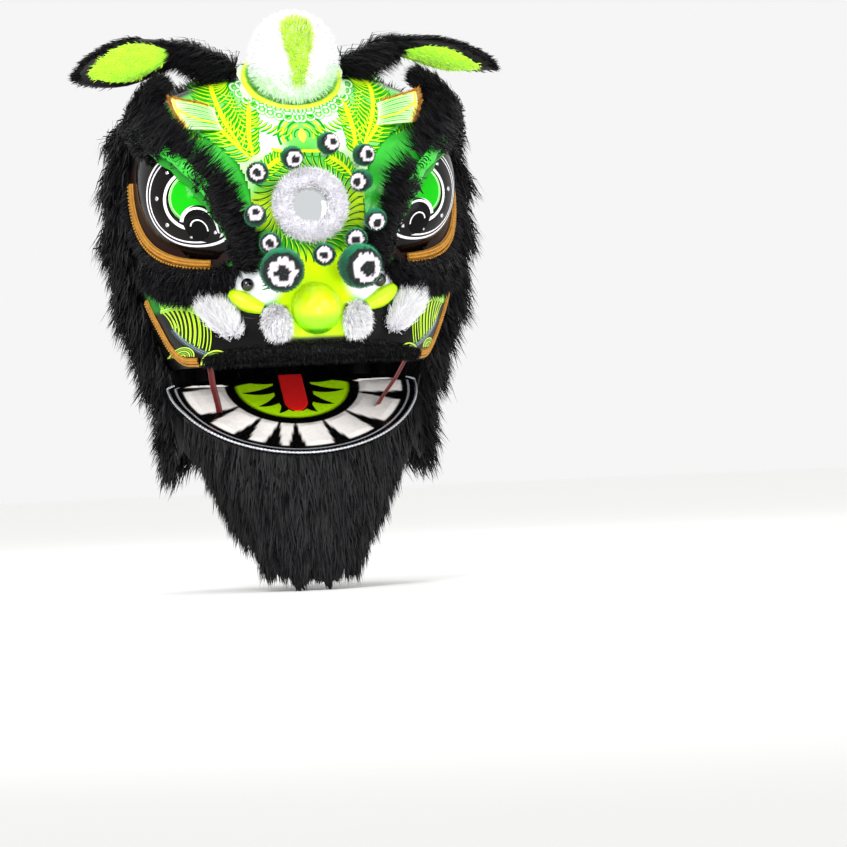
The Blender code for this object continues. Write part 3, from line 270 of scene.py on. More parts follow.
def finish(name, colour=None, roughness=0.5, metallic=0.0, paint=None, scale=200.0, vary=0.15, bump=0.15,
           distance=0.0006, wear=0.1, extra=None, stretch=(1.0, 1.0, 1.0)):
    """Principled finish: colour, or the piece's paint, varied by one noise and roughened by another."""
    made = bpy.data.materials.new(name)
    made.use_nodes = True
    tree = made.node_tree
    shader = tree.nodes["Principled BSDF"]
    place = add_node(tree, "ShaderNodeTexCoord").outputs["Object"]
    place = add_node(tree, "ShaderNodeMapping", {"Scale": stretch}, {"Vector": place}).outputs["Vector"]
    noise = add_node(tree, "ShaderNodeTexNoise", {"Scale": scale, "Detail": 4.0}, {"Vector": place})
    wide = add_node(tree, "ShaderNodeTexNoise", {"Scale": scale / 12, "Detail": 2.0}, {"Vector": place})
    level = add_node(tree, "ShaderNodeMapRange", {"To Min": 1 - vary, "To Max": 1 + vary},
                     {"Value": wide.outputs["Fac"]})
    if paint:
        colour_out = add_node(tree, "ShaderNodeAttribute", {"attribute_name": "paint"}).outputs["Color"]
        tint = add_node(tree, "ShaderNodeVectorMath", {"operation": "SCALE"}, {"Vector": colour_out,
                        "Scale": level.outputs["Result"]})
    else:
        tint = add_node(tree, "ShaderNodeVectorMath", {"operation": "SCALE"},
                        {"Scale": level.outputs["Result"]})
        tint.inputs[0].default_value = linear(colour)
    tree.links.new(tint.outputs["Vector"], shader.inputs["Base Color"])
    rough = add_node(tree, "ShaderNodeMapRange", {"To Min": max(roughness - wear, 0.02),
                     "To Max": min(roughness + wear, 1.0)}, {"Value": noise.outputs["Fac"]})
    tree.links.new(rough.outputs["Result"], shader.inputs["Roughness"])
    shader.inputs["Metallic"].default_value = metallic
    lump = add_node(tree, "ShaderNodeBump", {"Strength": bump, "Distance": distance},
                    {"Height": noise.outputs["Fac"]})
    tree.links.new(lump.outputs["Normal"], shader.inputs["Normal"])
    for key, value in (extra or {}).items():
        shader.inputs[key].default_value = value
    return made


FINISHES = {}


def make_finishes():
    """Every finish by a short name."""
    sheen = {"Sheen Weight": 0.5, "Sheen Roughness": 0.4}
    # Long-pile acrylic fur: colour comes with each hair; soft shine along the pile
    FINISHES["fur"] = finish("acrylic fur, combed", roughness=0.5, paint=True, vary=0.1, bump=0.05,
                             extra={"Sheen Weight": 0.04, "Sheen Roughness": 0.35,
                                    "Specular IOR Level": 0.22})
    # White plush: bright, soft, no shine
    FINISHES["plush"] = finish("white plush, teased", roughness=0.85, paint=True, vary=0.05, bump=0.05,
                               extra={"Sheen Weight": 0.3, "Sheen Roughness": 0.6,
                                      "Subsurface Weight": 0.15, "Subsurface Radius": (0.01, 0.01, 0.01)})
    # Papier-mache under brushed acrylic paint: slightly lumpy, satin gloss
    FINISHES["shell"] = finish("papier-mache, hand painted", roughness=0.34, paint=True, scale=90.0,
                               vary=0.12, bump=0.25, distance=0.0012,
                               extra={"Coat Weight": 0.06, "Coat Roughness": 0.2,
                                      "Specular IOR Level": 0.08})
    # Raised paint lines: thick gloss beads of colour
    FINISHES["line"] = finish("raised paint line, piped", roughness=0.3, paint=True, scale=300.0, vary=0.1,
                              bump=0.1,
                              extra={"Coat Weight": 0.1, "Coat Roughness": 0.15,
                                     "Specular IOR Level": 0.12})
    # Eye dome: lacquer over paint, wet gloss
    FINISHES["eye"] = finish("lacquered fibreglass, sprayed", roughness=0.16, paint=True, scale=60.0,
                             vary=0.08, bump=0.03,
                             extra={"Coat Weight": 0.12, "Coat Roughness": 0.04,
                                    "Specular IOR Level": 0.1})
    # Lime gloss paint on papier-mache: saturated, smooth
    FINISHES["lime"] = finish("lime gloss paint, brushed", roughness=0.28, paint=True, scale=70.0, vary=0.06,
                              bump=0.12,
                              extra={"Coat Weight": 0.15, "Coat Roughness": 0.12,
                                     "Specular IOR Level": 0.35})
    # Satin: threads run one way, so the shine stretches
    FINISHES["satin"] = finish("polyester satin, woven", "#19B81C", 0.34, scale=500.0, vary=0.2, bump=0.25,
                               stretch=(1.0, 1.0, 0.15), extra=sheen)
    # Cotton velvet: dark face, bright rim of pile
    FINISHES["velvet"] = finish("velvet, cut pile", roughness=0.9, paint=True, scale=500.0, vary=0.15,
                                bump=0.3, extra={"Sheen Weight": 0.8, "Sheen Roughness": 0.3,
                                       "Sheen Tint": (0.25, 0.9, 0.55, 1.0)})
    # Gold metallised thread braid: rough sparkle
    FINISHES["gold"] = finish("metallised braid, plaited", "#B9822A", 0.42, 0.35, scale=900.0, vary=0.35,
                              bump=0.8, distance=0.0012, wear=0.2)
    FINISHES["mirror"] = finish("silvered glass, polished", "#DCE0E2", 0.04, 1.0, scale=30.0, vary=0.03,
                                bump=0.01, wear=0.02)
    FINISHES["frame"] = finish("pressed steel rim, plated", "#A8A4A0", 0.25, 1.0, scale=200.0, vary=0.1)
    FINISHES["stud"] = finish("chromed stud, stamped", "#C6C8CC", 0.14, 1.0, scale=100.0, vary=0.05,
                              bump=0.05)
    FINISHES["bead"] = finish("acrylic bead, moulded", "#050506", 0.06, scale=80.0, vary=0.05, bump=0.01,
                              wear=0.03, extra={"Coat Weight": 0.5})
    # Pupil: black gloss that keeps the studio's white out, so it reads as a hole
    FINISHES["pupil"] = finish("lacquered wood, sprayed", "#040303", 0.3, scale=90.0, vary=0.05, bump=0.02,
                               wear=0.02, extra={"Specular IOR Level": 0.08})
    FINISHES["felt"] = finish("wool felt, cut", roughness=0.9, paint=True, scale=600.0, vary=0.12, bump=0.5,
                              extra={"Sheen Weight": 0.04, "Specular IOR Level": 0.2})
    FINISHES["ribbon"] = finish("satin ribbon, woven", "#5C0607", 0.45, scale=700.0, vary=0.25, bump=0.3,
                                stretch=(1.0, 1.0, 0.2),
                                extra={"Sheen Weight": 0.1, "Specular IOR Level": 0.3})
    FINISHES["silver"] = finish("metallised cord, twisted", "#B9BBC0", 0.3, 0.8, scale=800.0, vary=0.3,
                                bump=0.6)
    FINISHES["rod"] = finish("mild steel rod, drawn", "#2A2A2C", 0.4, 0.9, scale=300.0, vary=0.2)
    FINISHES["floor"] = finish("matt paper, rolled", "#FBFBFA", 0.9, scale=40.0, vary=0.01, bump=0.02)


def sample(verts, tris, count, rng, keep=None):
    """Points spread by area over triangles: P = A + u(B-A) + v(C-A), with u + v folded under 1."""
    a, b, c = (verts[tris[:, k]] for k in range(3))
    normal = np.cross(b - a, c - a)
    area = np.linalg.norm(normal, axis=1)
    if keep is not None:
        area = area * keep((a + b + c) / 3, unit(normal))
    pick = np.searchsorted(np.cumsum(area) / area.sum(), rng.random(count))
    pick = np.minimum(pick, len(tris) - 1)
    u, v = rng.random((2, count, 1))
    fold = u + v > 1
    u, v = np.where(fold, 1 - u, u), np.where(fold, 1 - v, v)
    return a[pick] + u * (b - a)[pick] + v * (c - a)[pick], unit(normal[pick])


def hairs(root, normal, flow, length, width, rng, lift=0.5, clump=0.5, cell=0.016, sag=0.5, wild=0.25):
    """Blades of two parts: root pair, middle pair, tip. Each heads along lift x normal + flow, sags, and
    its tip is drawn towards the middle of its cube-shaped cell, which gathers the pile in locks."""
    count = len(root)
    drift = flow - normal * np.sum(flow * normal, axis=1, keepdims=True) * 0.7
    ahead = unit(drift + normal * lift + rng.normal(0, wild, (count, 3)))
    size = (length * (0.65 + 0.6 * rng.random((count, 1))))
    key = np.floor(root / cell).astype(int)
    middle = (key + 0.5 + 0.35 * np.sin(key[:, [1, 2, 0]] * 12.9 + key[:, [2, 0, 1]] * 78.2)) * cell
    half = root + ahead * size * 0.5
    tip = half + unit(ahead + np.array([0, 0, -sag])) * size * 0.5
    goal = middle + unit(flow + normal * lift) * size
    pull = clump * np.clip(1 - np.linalg.norm(middle - root, axis=1, keepdims=True) / (2 * cell), 0, 1)
    tip = tip + (goal - tip) * pull
    side = unit(np.cross(ahead, normal + rng.normal(0, 0.5, (count, 3)))) * width / 2
    spare = FUR_PROUD * (0.4 + 0.6 * rng.random((count, 1)))
    tip = np.clip(tip, np.array(CAD_BOUNDS[0]) - spare, np.array(CAD_BOUNDS[1]) + spare)
    return np.stack([root - side, root + side, half - side * 0.8, half + side * 0.8, tip], axis=1)


def hair_faces(count, start=0):
    """A quad and a triangle for each blade of five points."""
    base = np.arange(count)[:, None] * 5 + start
    return base + np.array([[0, 1, 3, 2]]), base + np.array([[2, 3, 4]])


def hair_paint(count, root, tip, rng, spread=0.25, bright=0.0):
    """Colour of each blade's five points from root to tip, each blade a little lighter or darker."""
    root, tip = linear(root), linear(tip)
    tone = 1 + spread * rng.normal(0, 1, (count, 1, 1)).clip(-1.5, 1.5)
    # Painted glints: a share bright of the blades is drawn 3.2 times as light.
    painted_glint = (rng.random((count, 1, 1)) < bright) * 2.2
    # Painted shade at the root and painted highlight at the tip: colour blends from root to tip.
    along = np.array([0, 0, 0.55, 0.55, 1.0])[None, :, None]
    return (root * (1 - along) + tip * along) * (tone + painted_glint)


def thinned(count, width):
    """Fewer and wider blades for a share of the full fur, which cover the same skin."""
    share = settings().fur_share
    return int(count * share), width / math.sqrt(share)


def fur(name, nodes, count, length, width, flow, body="head", root="#020203", tip="#0D0C10", kind="fur",
        slot="fur", seed=1, spread=0.25, bright=0.06, keep=None, base=None, shade=None, **how):
    """Fur over frame nodes: the node's own skin under blades that start on it."""
    rng = np.random.default_rng(seed)
    count, width = thinned(count, width)
    nodes = [nodes] if isinstance(nodes, str) else nodes
    verts, tris = cad_mesh(nodes[0])
    place, normal = sample(verts, tris, count, rng, keep)
    reach = length(place) if callable(length) else length
    blades = hairs(place, normal, flow(place, normal), reach, width, rng, **how)
    colours = hair_paint(count, root, tip, rng, spread, bright)
    if shade is not None:
        colours = shade(place, colours, rng)
    quads, tips = hair_faces(count, len(verts))
    skin = base(verts) if callable(base) else np.tile(linear(base or root), (len(verts), 1))
    return new_mesh(name, np.vstack([verts, blades.reshape(-1, 3)]), [tris, quads, tips], FINISHES[kind],
                    body, nodes, slot, np.vstack([skin, colours.reshape(-1, 3)]))


def ribbons(curves, widths, place, lift=0.0004, crown=0.0005):
    """Flat lines on a surface: for curves of (n, k, 2), each point gives a left, a raised middle and a
    right point, set off across the curve's direction, and place maps them to space."""
    ahead = unit(np.gradient(curves, axis=1))
    across = np.stack([-ahead[..., 1], ahead[..., 0]], axis=-1)
    offs = widths[..., None] * across / 2
    rows = []
    for share, rise in ((-1, 0.0), (0, crown), (1, 0.0)):
        spot = curves + offs * share
        rows.append(place(spot[..., 0], spot[..., 1], lift + rise))
    points = np.stack(rows, axis=2)
    n, k = curves.shape[:2]
    quads = (grid_faces(k, 3)[None] + (np.arange(n) * k * 3)[:, None, None]).reshape(-1, 4)
    return points.reshape(-1, 3), quads


def taper(k, power=0.6, start=0.15):
    """Width along a stroke: thin start, full at two fifths, a fine point at the end."""
    t = np.linspace(0, 1, k)
    return np.maximum(start, np.minimum(t / 0.25 + start, 1)) * (1 - t**3) ** power + 0.04


def bend(a, b, sag, k=12):
    """Quadratic curves from a to b, bowed sideways by sag as a share of their length."""
    a, b = np.atleast_2d(a), np.atleast_2d(b)
    way = b - a
    side = np.stack([-way[:, 1], way[:, 0]], axis=1)
    mid = (a + b) / 2 + side * np.asarray(sag).reshape(-1, 1)
    t = np.linspace(0, 1, k)[None, :, None]
    return a[:, None] * (1 - t) ** 2 + 2 * mid[:, None] * t * (1 - t) + b[:, None] * t**2


def arcs(centres, radii, start, end, k=14):
    """Arcs of circles about centres, with start and end in degrees."""
    turn = np.radians(np.linspace(start, end, k))
    ring = np.stack([np.cos(turn), np.sin(turn)], axis=-1)
    return np.asarray(centres)[:, None] + np.asarray(radii)[:, None, None] * ring[None]


BARB_SAG = 0.2


def frond(spine, count, length, lean):
    """Barbs to each side of a smooth spine, each leaning towards its tip."""
    line = catmull(spine, 12)
    spot = np.interp(np.linspace(0.04, 0.96, count), np.linspace(0, 1, len(line)), np.arange(len(line)))
    here = line[spot.astype(int)]
    ahead = unit(np.gradient(line, axis=0))[spot.astype(int)]
    side = np.stack([-ahead[:, 1], ahead[:, 0]], axis=1)
    size = length * (0.55 + 0.45 * np.sin(np.linspace(0.25, 2.6, count)))[:, None]
    found = [bend(here, here + (side * sign + ahead * lean) * size, -BARB_SAG * sign) for sign in (1, -1)]
    return line, np.concatenate(found)


def mirror_x(curves):
    """The curves and their mirror image across the middle of the face."""
    return np.concatenate([curves, curves * np.array([-1, 1])])


class Lines:
    """Painted lines gathered into one mesh."""

    def __init__(self, place):
        self.place, self.verts, self.faces, self.paint, self.count = place, [], [], [], 0
        self.tips = []

    def add(self, curves, width, colour, lift=0.0004, mirrored=True, shape=None):
        """Curves in millimetres of one width and colour, mirrored across the middle if asked."""
        curves = np.asarray(curves, float)
        curves = curves[None] if curves.ndim == 2 else curves
        curves = mirror_x(curves) if mirrored else curves
        k = curves.shape[1]
        shape = np.ones(k) if shape is None else shape
        points, quads = ribbons(curves / 1000, np.broadcast_to(width / 1000 * shape, curves.shape[:2]),
                                self.place, lift)
        self.verts.append(points)
        self.faces.append(quads + self.count)
        self.count += len(points)
        self.paint.append(np.tile(linear(colour), (len(points), 1)))

    def disc(self, middle, radius, colour, lift, rings=9, spokes=48):
        """Filled circle: rings about a middle, all in millimetres, each point laid on the form."""
        reach = radius * np.linspace(0.02, 1, rings)[:, None]
        turn = np.linspace(0, 2 * math.pi, spokes, endpoint=False)[None, :]
        across = middle[0] + reach * np.cos(turn)
        up = middle[1] + reach * np.sin(turn)
        grid = self.place(across / 1000, up / 1000, lift)
        points = grid.reshape(-1, 3)
        centre = self.count + len(points)
        inner = np.arange(spokes)
        fan = np.stack([inner, np.roll(inner, -1), np.roll(inner, -1), inner], axis=1) + self.count
        fan[:, 2:] = centre
        self.verts += [points, points[:spokes].mean(axis=0, keepdims=True)]
        self.faces.append(grid_faces(rows=rings, columns=spokes, wrap=True, start=self.count))
        self.tips.append(fan[:, :3])
        self.count = centre + 1
        self.paint.append(np.tile(linear(colour), (len(points) + 1, 1)))

    def make(self, name, finish_name, body="head", slot="shell", replaces=()):
        """One object of all the lines."""
        return new_mesh(name, np.vstack(self.verts), [np.vstack(self.faces), *self.tips],
                        FINISHES[finish_name], body, replaces, slot, np.vstack(self.paint))


def eye_frame(side):
    """Centre, direction to the lower corner, outward, downward and half length of the eye's dome."""
    upper = face_point(side * EYE_UPPER_CORNER[0], EYE_UPPER_CORNER[1])
    lower = face_point(side * EYE_LOWER_CORNER[0], EYE_LOWER_CORNER[1])
    along = lower - upper
    half = np.linalg.norm(along) / 2
    along = unit(along)
    middle = (upper + lower) / 2
    mid_across = (EYE_UPPER_CORNER[0] + EYE_LOWER_CORNER[0]) / 2
    out = face_point(side * mid_across, (EYE_UPPER_CORNER[1] + EYE_LOWER_CORNER[1]) / 2) - middle
    out = unit(out - along * out.dot(along))
    down = np.cross(along, out)
    down = -down if down[2] > 0 else down
    return middle - out * EYE_AXIS_DEPTH, along, out, down, half


def dome(eye, share, angle, extra=0.0):
    """Barrel of turning: radius R1 + (R0 - R1)(1 - s^2), s along its axis, angle from facing out."""
    centre, along, out, down, half = eye
    share, angle, extra = np.broadcast_arrays(share, np.radians(angle), extra)
    radius = EYE_END_RADIUS + (EYE_MID_RADIUS - EYE_END_RADIUS) * (1 - share**2) + extra
    ray = out * np.cos(angle)[..., None] + down * np.sin(angle)[..., None]
    return centre + along * (share * half)[..., None] + ray * radius[..., None]


def in_lid_space(eye, p):
    """True inside the slot in which the lid turns."""
    centre, along, out, down, half = eye
    rel = p - centre
    share = rel @ along / half
    radius = np.hypot(rel @ out, rel @ down)
    angle = np.degrees(np.arctan2(rel @ down, rel @ out))
    limit = EYE_END_RADIUS + (EYE_MID_RADIUS - EYE_END_RADIUS) * (1 - share**2) + LID_SLOT
    return (np.abs(share) < 1) & (radius < limit) & (angle > -72) & (angle < 58)


def soft(value, edge, width):
    """Smooth step from 0 to 1 about an edge."""
    t = np.clip((value - edge) / width + 0.5, 0, 1)
    return t * t * (3 - 2 * t)


def shell_paint(p):
    """Painted zones: mint forehead, green round the mirror, black cheeks and back, by distance."""
    x, y, z = np.abs(p[..., 0]), p[..., 1], p[..., 2]
    colour = np.broadcast_to(linear("#CFFAB4"), p.shape).copy()

    def blend(code, mask):
        nonlocal colour
        colour = colour * (1 - mask[..., None]) + linear(code) * mask[..., None]

    blend("#35D818", 0.75 * soft(x, 0.105, 0.05) * soft(z, 0.41, 0.06))
    blend("#E4FFE0", 0.8 * (1 - soft(np.hypot(x - 0.062, (z - 0.445) / 1.5), 0.026, 0.025)))
    blend("#2BC412", 0.75 * (1 - soft(np.hypot(x, z - 0.448), 0.040, 0.025)))
    ring = np.hypot(p[..., 0], z - 0.304)
    blend("#22B814", 0.85 * (1 - soft(ring, 0.120, 0.04)))
    blend("#B4D200", 0.95 * (1 - soft(np.hypot(x - 0.088, z - 0.295), 0.040, 0.03)))
    blend("#1FA013", 1 - soft(z, 0.262, 0.05))
    blend("#C8F408", (1 - soft(z, 0.215, 0.03)) * (1 - soft(x, 0.075, 0.03)))
    blend("#0C7D1A", (1 - soft(z, 0.225, 0.03)) * soft(x, 0.13, 0.03))
    blend("#F2F2FA", (1 - soft(np.hypot((x - 0.115) / 1.4, z - 0.150), 0.034, 0.02)))
    blend("#020302", (1 - soft(z, 0.112, 0.012)) * soft(x, 0.055, 0.01))
    blend("#020302", 1 - soft(z, 0.050, 0.01))
    blend("#020302", soft(y, -0.06, 0.03))
    for eye in (eye_frame(-1), eye_frame(1)):
        centre, along, out, down, half = eye
        rel = p - centre
        share = np.clip(rel @ along / half, -1, 1)
        radius = EYE_END_RADIUS + (EYE_MID_RADIUS - EYE_END_RADIUS) * (1 - share**2)
        reach = np.hypot(rel @ out, rel @ down) - radius
        angle = np.degrees(np.arctan2(rel @ down, rel @ out))
        rim = (np.abs(rel @ along / half) < 1.15) * (angle > -5)
        blend("#020202", (1 - soft(reach, 0.085, 0.02)) * rim * soft(z, 0.15, 0.02))
        blend("#1C0904", (1 - soft(reach, 0.030, 0.006)) * rim)
    return colour


def build_shell():
    """Outer and inner skin of the painted shell, open at the lids' slots, closed along the rim."""
    turns = np.concatenate([np.linspace(-96, 96, 250), np.linspace(96, 264, 40)[1:-1]])
    heights = np.concatenate([np.linspace(0, 0.93, 142), np.linspace(0.93, 0.993, 12)[1:]])
    eyes = [eye_frame(side) for side in (-1, 1)]
    verts, faces, start = [], [], 0
    for lift in (0.0, -SHELL_WALL):
        step = 1 if lift == 0 else 3
        t = turns[::step]
        h = heights[::step]
        grid = around(t[None, :], h[:, None], lift)
        rows, columns = grid.shape[:2]
        quads = grid_faces(rows, columns, True)
        flat = grid.reshape(-1, 3)
        centre = flat[quads].mean(axis=1)
        hole = in_lid_space(eyes[0], centre) | in_lid_space(eyes[1], centre)
        quads = quads[~hole]
        top = np.array([[0, 0, HEAD_HEIGHT + lift]])
        last = (rows - 1) * columns + np.arange(columns)
        cap = np.stack([last, np.roll(last, -1), np.full(columns, len(flat))], axis=1)
        if lift:
            quads, cap = quads[:, ::-1], cap[:, ::-1]
        verts += [flat, top]
        faces += [quads + start, cap + start]
        start += len(flat) + 1
    outer = around(turns, np.zeros(len(turns)))
    inner = around(turns, np.zeros(len(turns)), -SHELL_WALL)
    rim = grid_faces(2, len(turns), True, start)
    verts += [inner, outer]
    faces.append(rim)
    verts = np.vstack(verts)
    paint = shell_paint(verts)
    paint[len(turns) * len(heights) + 1 :] = linear("#16130F")
    new_mesh("shell_skin", verts, faces, FINISHES["shell"], "head", ["head_shell"], "shell", paint)


def build_face_lines():
    """Fronds, curls, ribs, waves and outlines painted on the face."""
    lines = Lines(on_face)
    barb = taper(12)
    for spine, count, length in (
        (((-150, 575), (-158, 540), (-147, 482), (-121, 424)), 17, 40),
        (((-214, 505), (-176, 490), (-144, 448), (-100, 395)), 16, 34),
        (((-262, 470), (-240, 455), (-205, 425), (-160, 385)), 14, 30),
        (((-240, 420), (-215, 405), (-185, 380), (-150, 345)), 12, 26),
        (((-92, 520), (-100, 480), (-104, 440), (-100, 405)), 11, 22),
        (((-48, 400), (-62, 392), (-78, 378), (-92, 356)), 8, 20),
    ):
        line, barbs = frond(spine, count, length, -0.75)
        lines.add(barbs, 8.6, "#07A406", 0.0003, shape=barb)
        line, barbs = frond(spine, count, length * 0.9, -0.62)
        lines.add(barbs, 3.0, "#C9F51E", 0.0007, shape=barb)
        lines.add(line, 8.5, "#E0F01A", 0.0011, shape=taper(len(line), start=0.5))
    for k, reach in enumerate((44, 36, 28, 20, 12)):
        lines.add(arcs([(-3, 446)], [reach], 96, 205, 18), 5.2 - 0.5 * k, ("#0C9A0A", "#D6F51E")[k % 2],
                  0.0004)
    lines.add(bend((0, 460), (0, 430), 0.2), 10, "#F0E64B", 0.0008, shape=np.sin(np.linspace(0, 3.1, 12)))
    lines.add(bend((-64, 420), (0, 414), -0.12), 6.0, "#E0F01E", 0.0006)
    lines.add(bend((-74, 408), (0, 403), -0.1), 2.4, "#19A512", 0.0006)
    # Scalloped lace under the horn's cord: rows of loops, each with a green heart
    for rim, count, reach, colour in ((92, 15, 9, "#F2FFF0"), (106, 17, 9, "#DFFFD6")):
        turn = np.radians(np.linspace(200, 268, count // 2 + 1))
        spots = np.stack([(rim + 14) * np.cos(turn), 588 + rim * np.sin(turn)], axis=1)
        lines.add(arcs(spots, np.full(len(spots), reach), 0, 360, 20), 3.4, colour, 0.0010)
        lines.add(arcs(spots, np.full(len(spots), reach * 0.55), 0, 360, 14), 2.2, "#4CCB3A", 0.0010)
        lines.add(arcs(spots, np.full(len(spots), reach * 1.25), 0, 360, 20), 1.2, "#35B428", 0.0013)
    # Rows of short barbs that fan out below the lace
    turn = np.radians(np.linspace(196, 262, 15))
    for inner, outer, width, colour in ((122, 152, 6.0, "#14AE0C"), (124, 146, 2.2, "#D2FF37")):
        a = np.stack([inner * np.cos(turn), 560 + inner * np.sin(turn) * 0.82], axis=1)
        b = np.stack([outer * np.cos(turn - 0.1), 560 + outer * np.sin(turn - 0.1) * 0.82], axis=1)
        lines.add(bend(a, b, 0.18), width, colour, 0.0005 if width > 3 else 0.0009, shape=barb)
    # Curls of short barbs round the mirror
    turn = np.radians(np.linspace(-175, 175, 44))
    for near, far, width, colour, rise in ((74, 112, 5.4, "#075F0C", 0.0004),
                                           (74, 100, 2.0, "#B6EB1E", 0.0008)):
        inner = np.stack([near * np.cos(turn), 304 + near * np.sin(turn)], axis=1)
        outer = np.stack([far * np.cos(turn + 0.22), 304 + far * np.sin(turn + 0.22)], axis=1)
        lines.add(bend(inner, outer, 0.25), width, colour, rise, mirrored=False, shape=barb)
    # Soft dark barbs down each side of the bridge of the nose
    rows = np.linspace(240, 160, 12)
    a = np.stack([-62 - 0.15 * (240 - rows), rows], axis=1)
    lines.add(bend(a, a + np.array([-30, -16]), 0.2), 4.0, "#0B7A14", 0.0004, shape=barb)
    lines.add(bend(a + np.array([0, 4]), a + np.array([-22, -8]), 0.2), 1.6, "#D2F03A", 0.0007, shape=barb)
    build_cheek_lines(lines, barb)
    lines.make("face_lines", "line")


CHEEK_TOP = ((-282, 112), (-262, 116), (-240, 113), (-215, 101), (-190, 76), (-168, 60))
CHEEK_FOOT = ((-262, 84), (-250, 66), (-234, 50), (-214, 36), (-190, 26), (-168, 22))


def build_cheek_lines(lines, barb):
    """Ribs under an arched spine, fringe above it, and waves in the band along the lip."""
    top, foot = catmull(CHEEK_TOP, 8), catmull(CHEEK_FOOT, 8)
    pick = np.linspace(2, len(top) - 14, 9).astype(int)
    for offset, width, colour, lift in ((0, 7.0, "#061204", 0.0003), (-2.9, 1.9, "#B9E62A", 0.0007),
                                        (2.9, 1.9, "#B9E62A", 0.0007)):
        shift = np.array([offset, 0])
        lines.add(bend(top[pick] + shift, foot[pick] + shift, 0.12), width, colour, lift)
    lines.add(top, 4.5, "#9BDC34", 0.0010)
    lines.add(top + np.array([0, 3.5]), 1.6, "#E9FF9A", 0.0013)
    many = np.linspace(1, len(top) - 8, 22).astype(int)
    tip = np.stack([-0.35 * (top[many][:, 0] + 300) - 8, np.full(len(many), 38.0)], axis=1)
    lines.add(bend(top[many], top[many] + tip * 1.1, -0.15), 5.2, "#1FC814", 0.0004, shape=barb)
    lines.add(bend(top[many], top[many] + tip * 0.8, -0.15), 1.8, "#B8FF3C", 0.0008, shape=barb)
    dots = foot + np.array([0, -6])
    lines.add(dots, 10.0, "#33424B", 0.0003)
    spots = np.repeat(dots, 2, axis=0) + np.tile([[0, 2.4], [1.5, -2.4]], (len(dots), 1))
    lines.add(arcs(spots, np.full(len(spots), 0.7), 0, 340, 6), 0.8, "#9FB4BD", 0.0007)
    for centre, reach in (((-190, 7), 24), ((-128, 9), 16), ((-244, 24), 17), ((-86, 9), 12)):
        for k, share in enumerate((1.0, 0.8, 0.6, 0.4, 0.2)):
            lines.add(arcs([centre], [reach * share], -5, 185, 22), reach * 0.12,
                      "#CBEA4A" if k % 2 == 0 else "#7FB82A", 0.0010)
    # Black outlines beside the nostrils
    lines.add(catmull(((-172, 122), (-160, 104), (-140, 92), (-112, 88)), 6), 4.0, "#040404", 0.0012,
              shape=taper(19, start=0.3))
    lines.add(catmull(((-90, 88), (-80, 72), (-72, 62), (-64, 68)), 6), 3.4, "#040404", 0.0200,
              shape=taper(19, start=0.3))


def build_band(name, nodes, line, up_hint, teeth, width=BRAID_WIDTH, height=0.0042):
    """Plaited braid: a ridged band along a path on the head form, with picot loops on its outer edge."""
    count = len(line)
    up = outward(line)
    ahead = unit(np.gradient(line, axis=0))
    across = unit(np.cross(up, ahead))
    flip = np.sign(np.sum(across * (line - up_hint), axis=1, keepdims=True))
    across = across * flip
    t = np.linspace(0, teeth * 2 * math.pi, count)
    share = np.linspace(-1, 1, 9)
    loop = 1 + 0.45 * np.abs(np.sin(t / 2))[:, None] ** 1.5 * (share > 0.9)
    plait = 0.55 + 0.45 * np.abs(np.cos(t[:, None] * 1.5 + np.abs(share[None]) * 4))
    rise = height * (1 - share**4)[None] * plait + 0.0004
    spread = (share * loop * width / 2)[..., None]
    top = line[:, None] + across[:, None] * spread + up[:, None] * rise[..., None]
    new_mesh(name, top, [grid_faces(count, 9)], FINISHES["gold"], "head", nodes, "gold")
    parts, quads, first = [], [], 0
    for k, share in enumerate((-0.45, 0.3)):
        rope = line + across * share * width / 2 + up * height * 0.75
        size = width * 0.19 * (1 + 0.3 * np.sin(np.arange(count) * 1.35 + k * 2))
        points, faces = tube(rope, size, 7)
        parts.append(points)
        quads.append(faces + first)
        first += len(points)
    new_mesh(name + "_plait", np.vstack(parts), quads, FINISHES["gold"], "head", (), "gold")
    pick = np.linspace(2, count - 3, teeth).astype(int)
    edge = (line + across * width * 0.62 + up * height * 1.0)[pick]
    balls(name + "_picots", edge, np.full(teeth, width * 0.17), "gold", "gold", n=8)


def eye_rim(eye, extra, count):
    """Where the enlarged dome meets the head form, by halving the angle between 30 and 150 degrees."""
    share = np.linspace(-0.98, 0.98, count)
    low, high = np.full(count, 30.0), np.full(count, 150.0)
    for _ in range(26):
        mid = (low + high) / 2
        outside = form_value(dome(eye, share, mid, extra)) > 0
        low, high = np.where(outside, mid, low), np.where(outside, high, mid)
    return dome(eye, share, low, extra)


STUD_RADIUS = 0.0058
STUD_GAP = 0.0014  # between a stud's top and the closing lid
STUD_MIDDLE = (34, 4)  # along and down the dome, in mm
STUD_RING = 77
EYE_RINGS = (
    # radius, width, start, end, centre along and down, colour, lift in mm
    (104.0, 5.0, 0, 360, 26, 4, "#F4F0F4", 0.3),
    (94.5, 3.8, 0, 360, 27, 4, "#F4F0F4", 0.3),
    (60.0, 7.2, -20, 380, 38, 2, "#F4F6F4", 0.5),
    (25.5, 51.0, 0, 360, 38, -2, "#0FB408", 0.3),
    (47.0, 9.0, 60, 300, 36, -2, "#B9F5A4", 0.4),
    (19.0, 38.0, 0, 360, 84, 26, "#040303", 0.9),
    (36.0, 11.0, 150, 330, 84, 32, "#F8F5FA", 1.1),
    (25.0, 9.0, 150, 330, 85, 34, "#040303", 1.4),
    (17.0, 2.6, 150, 330, 86, 36, "#F4F0F4", 2.8),
)


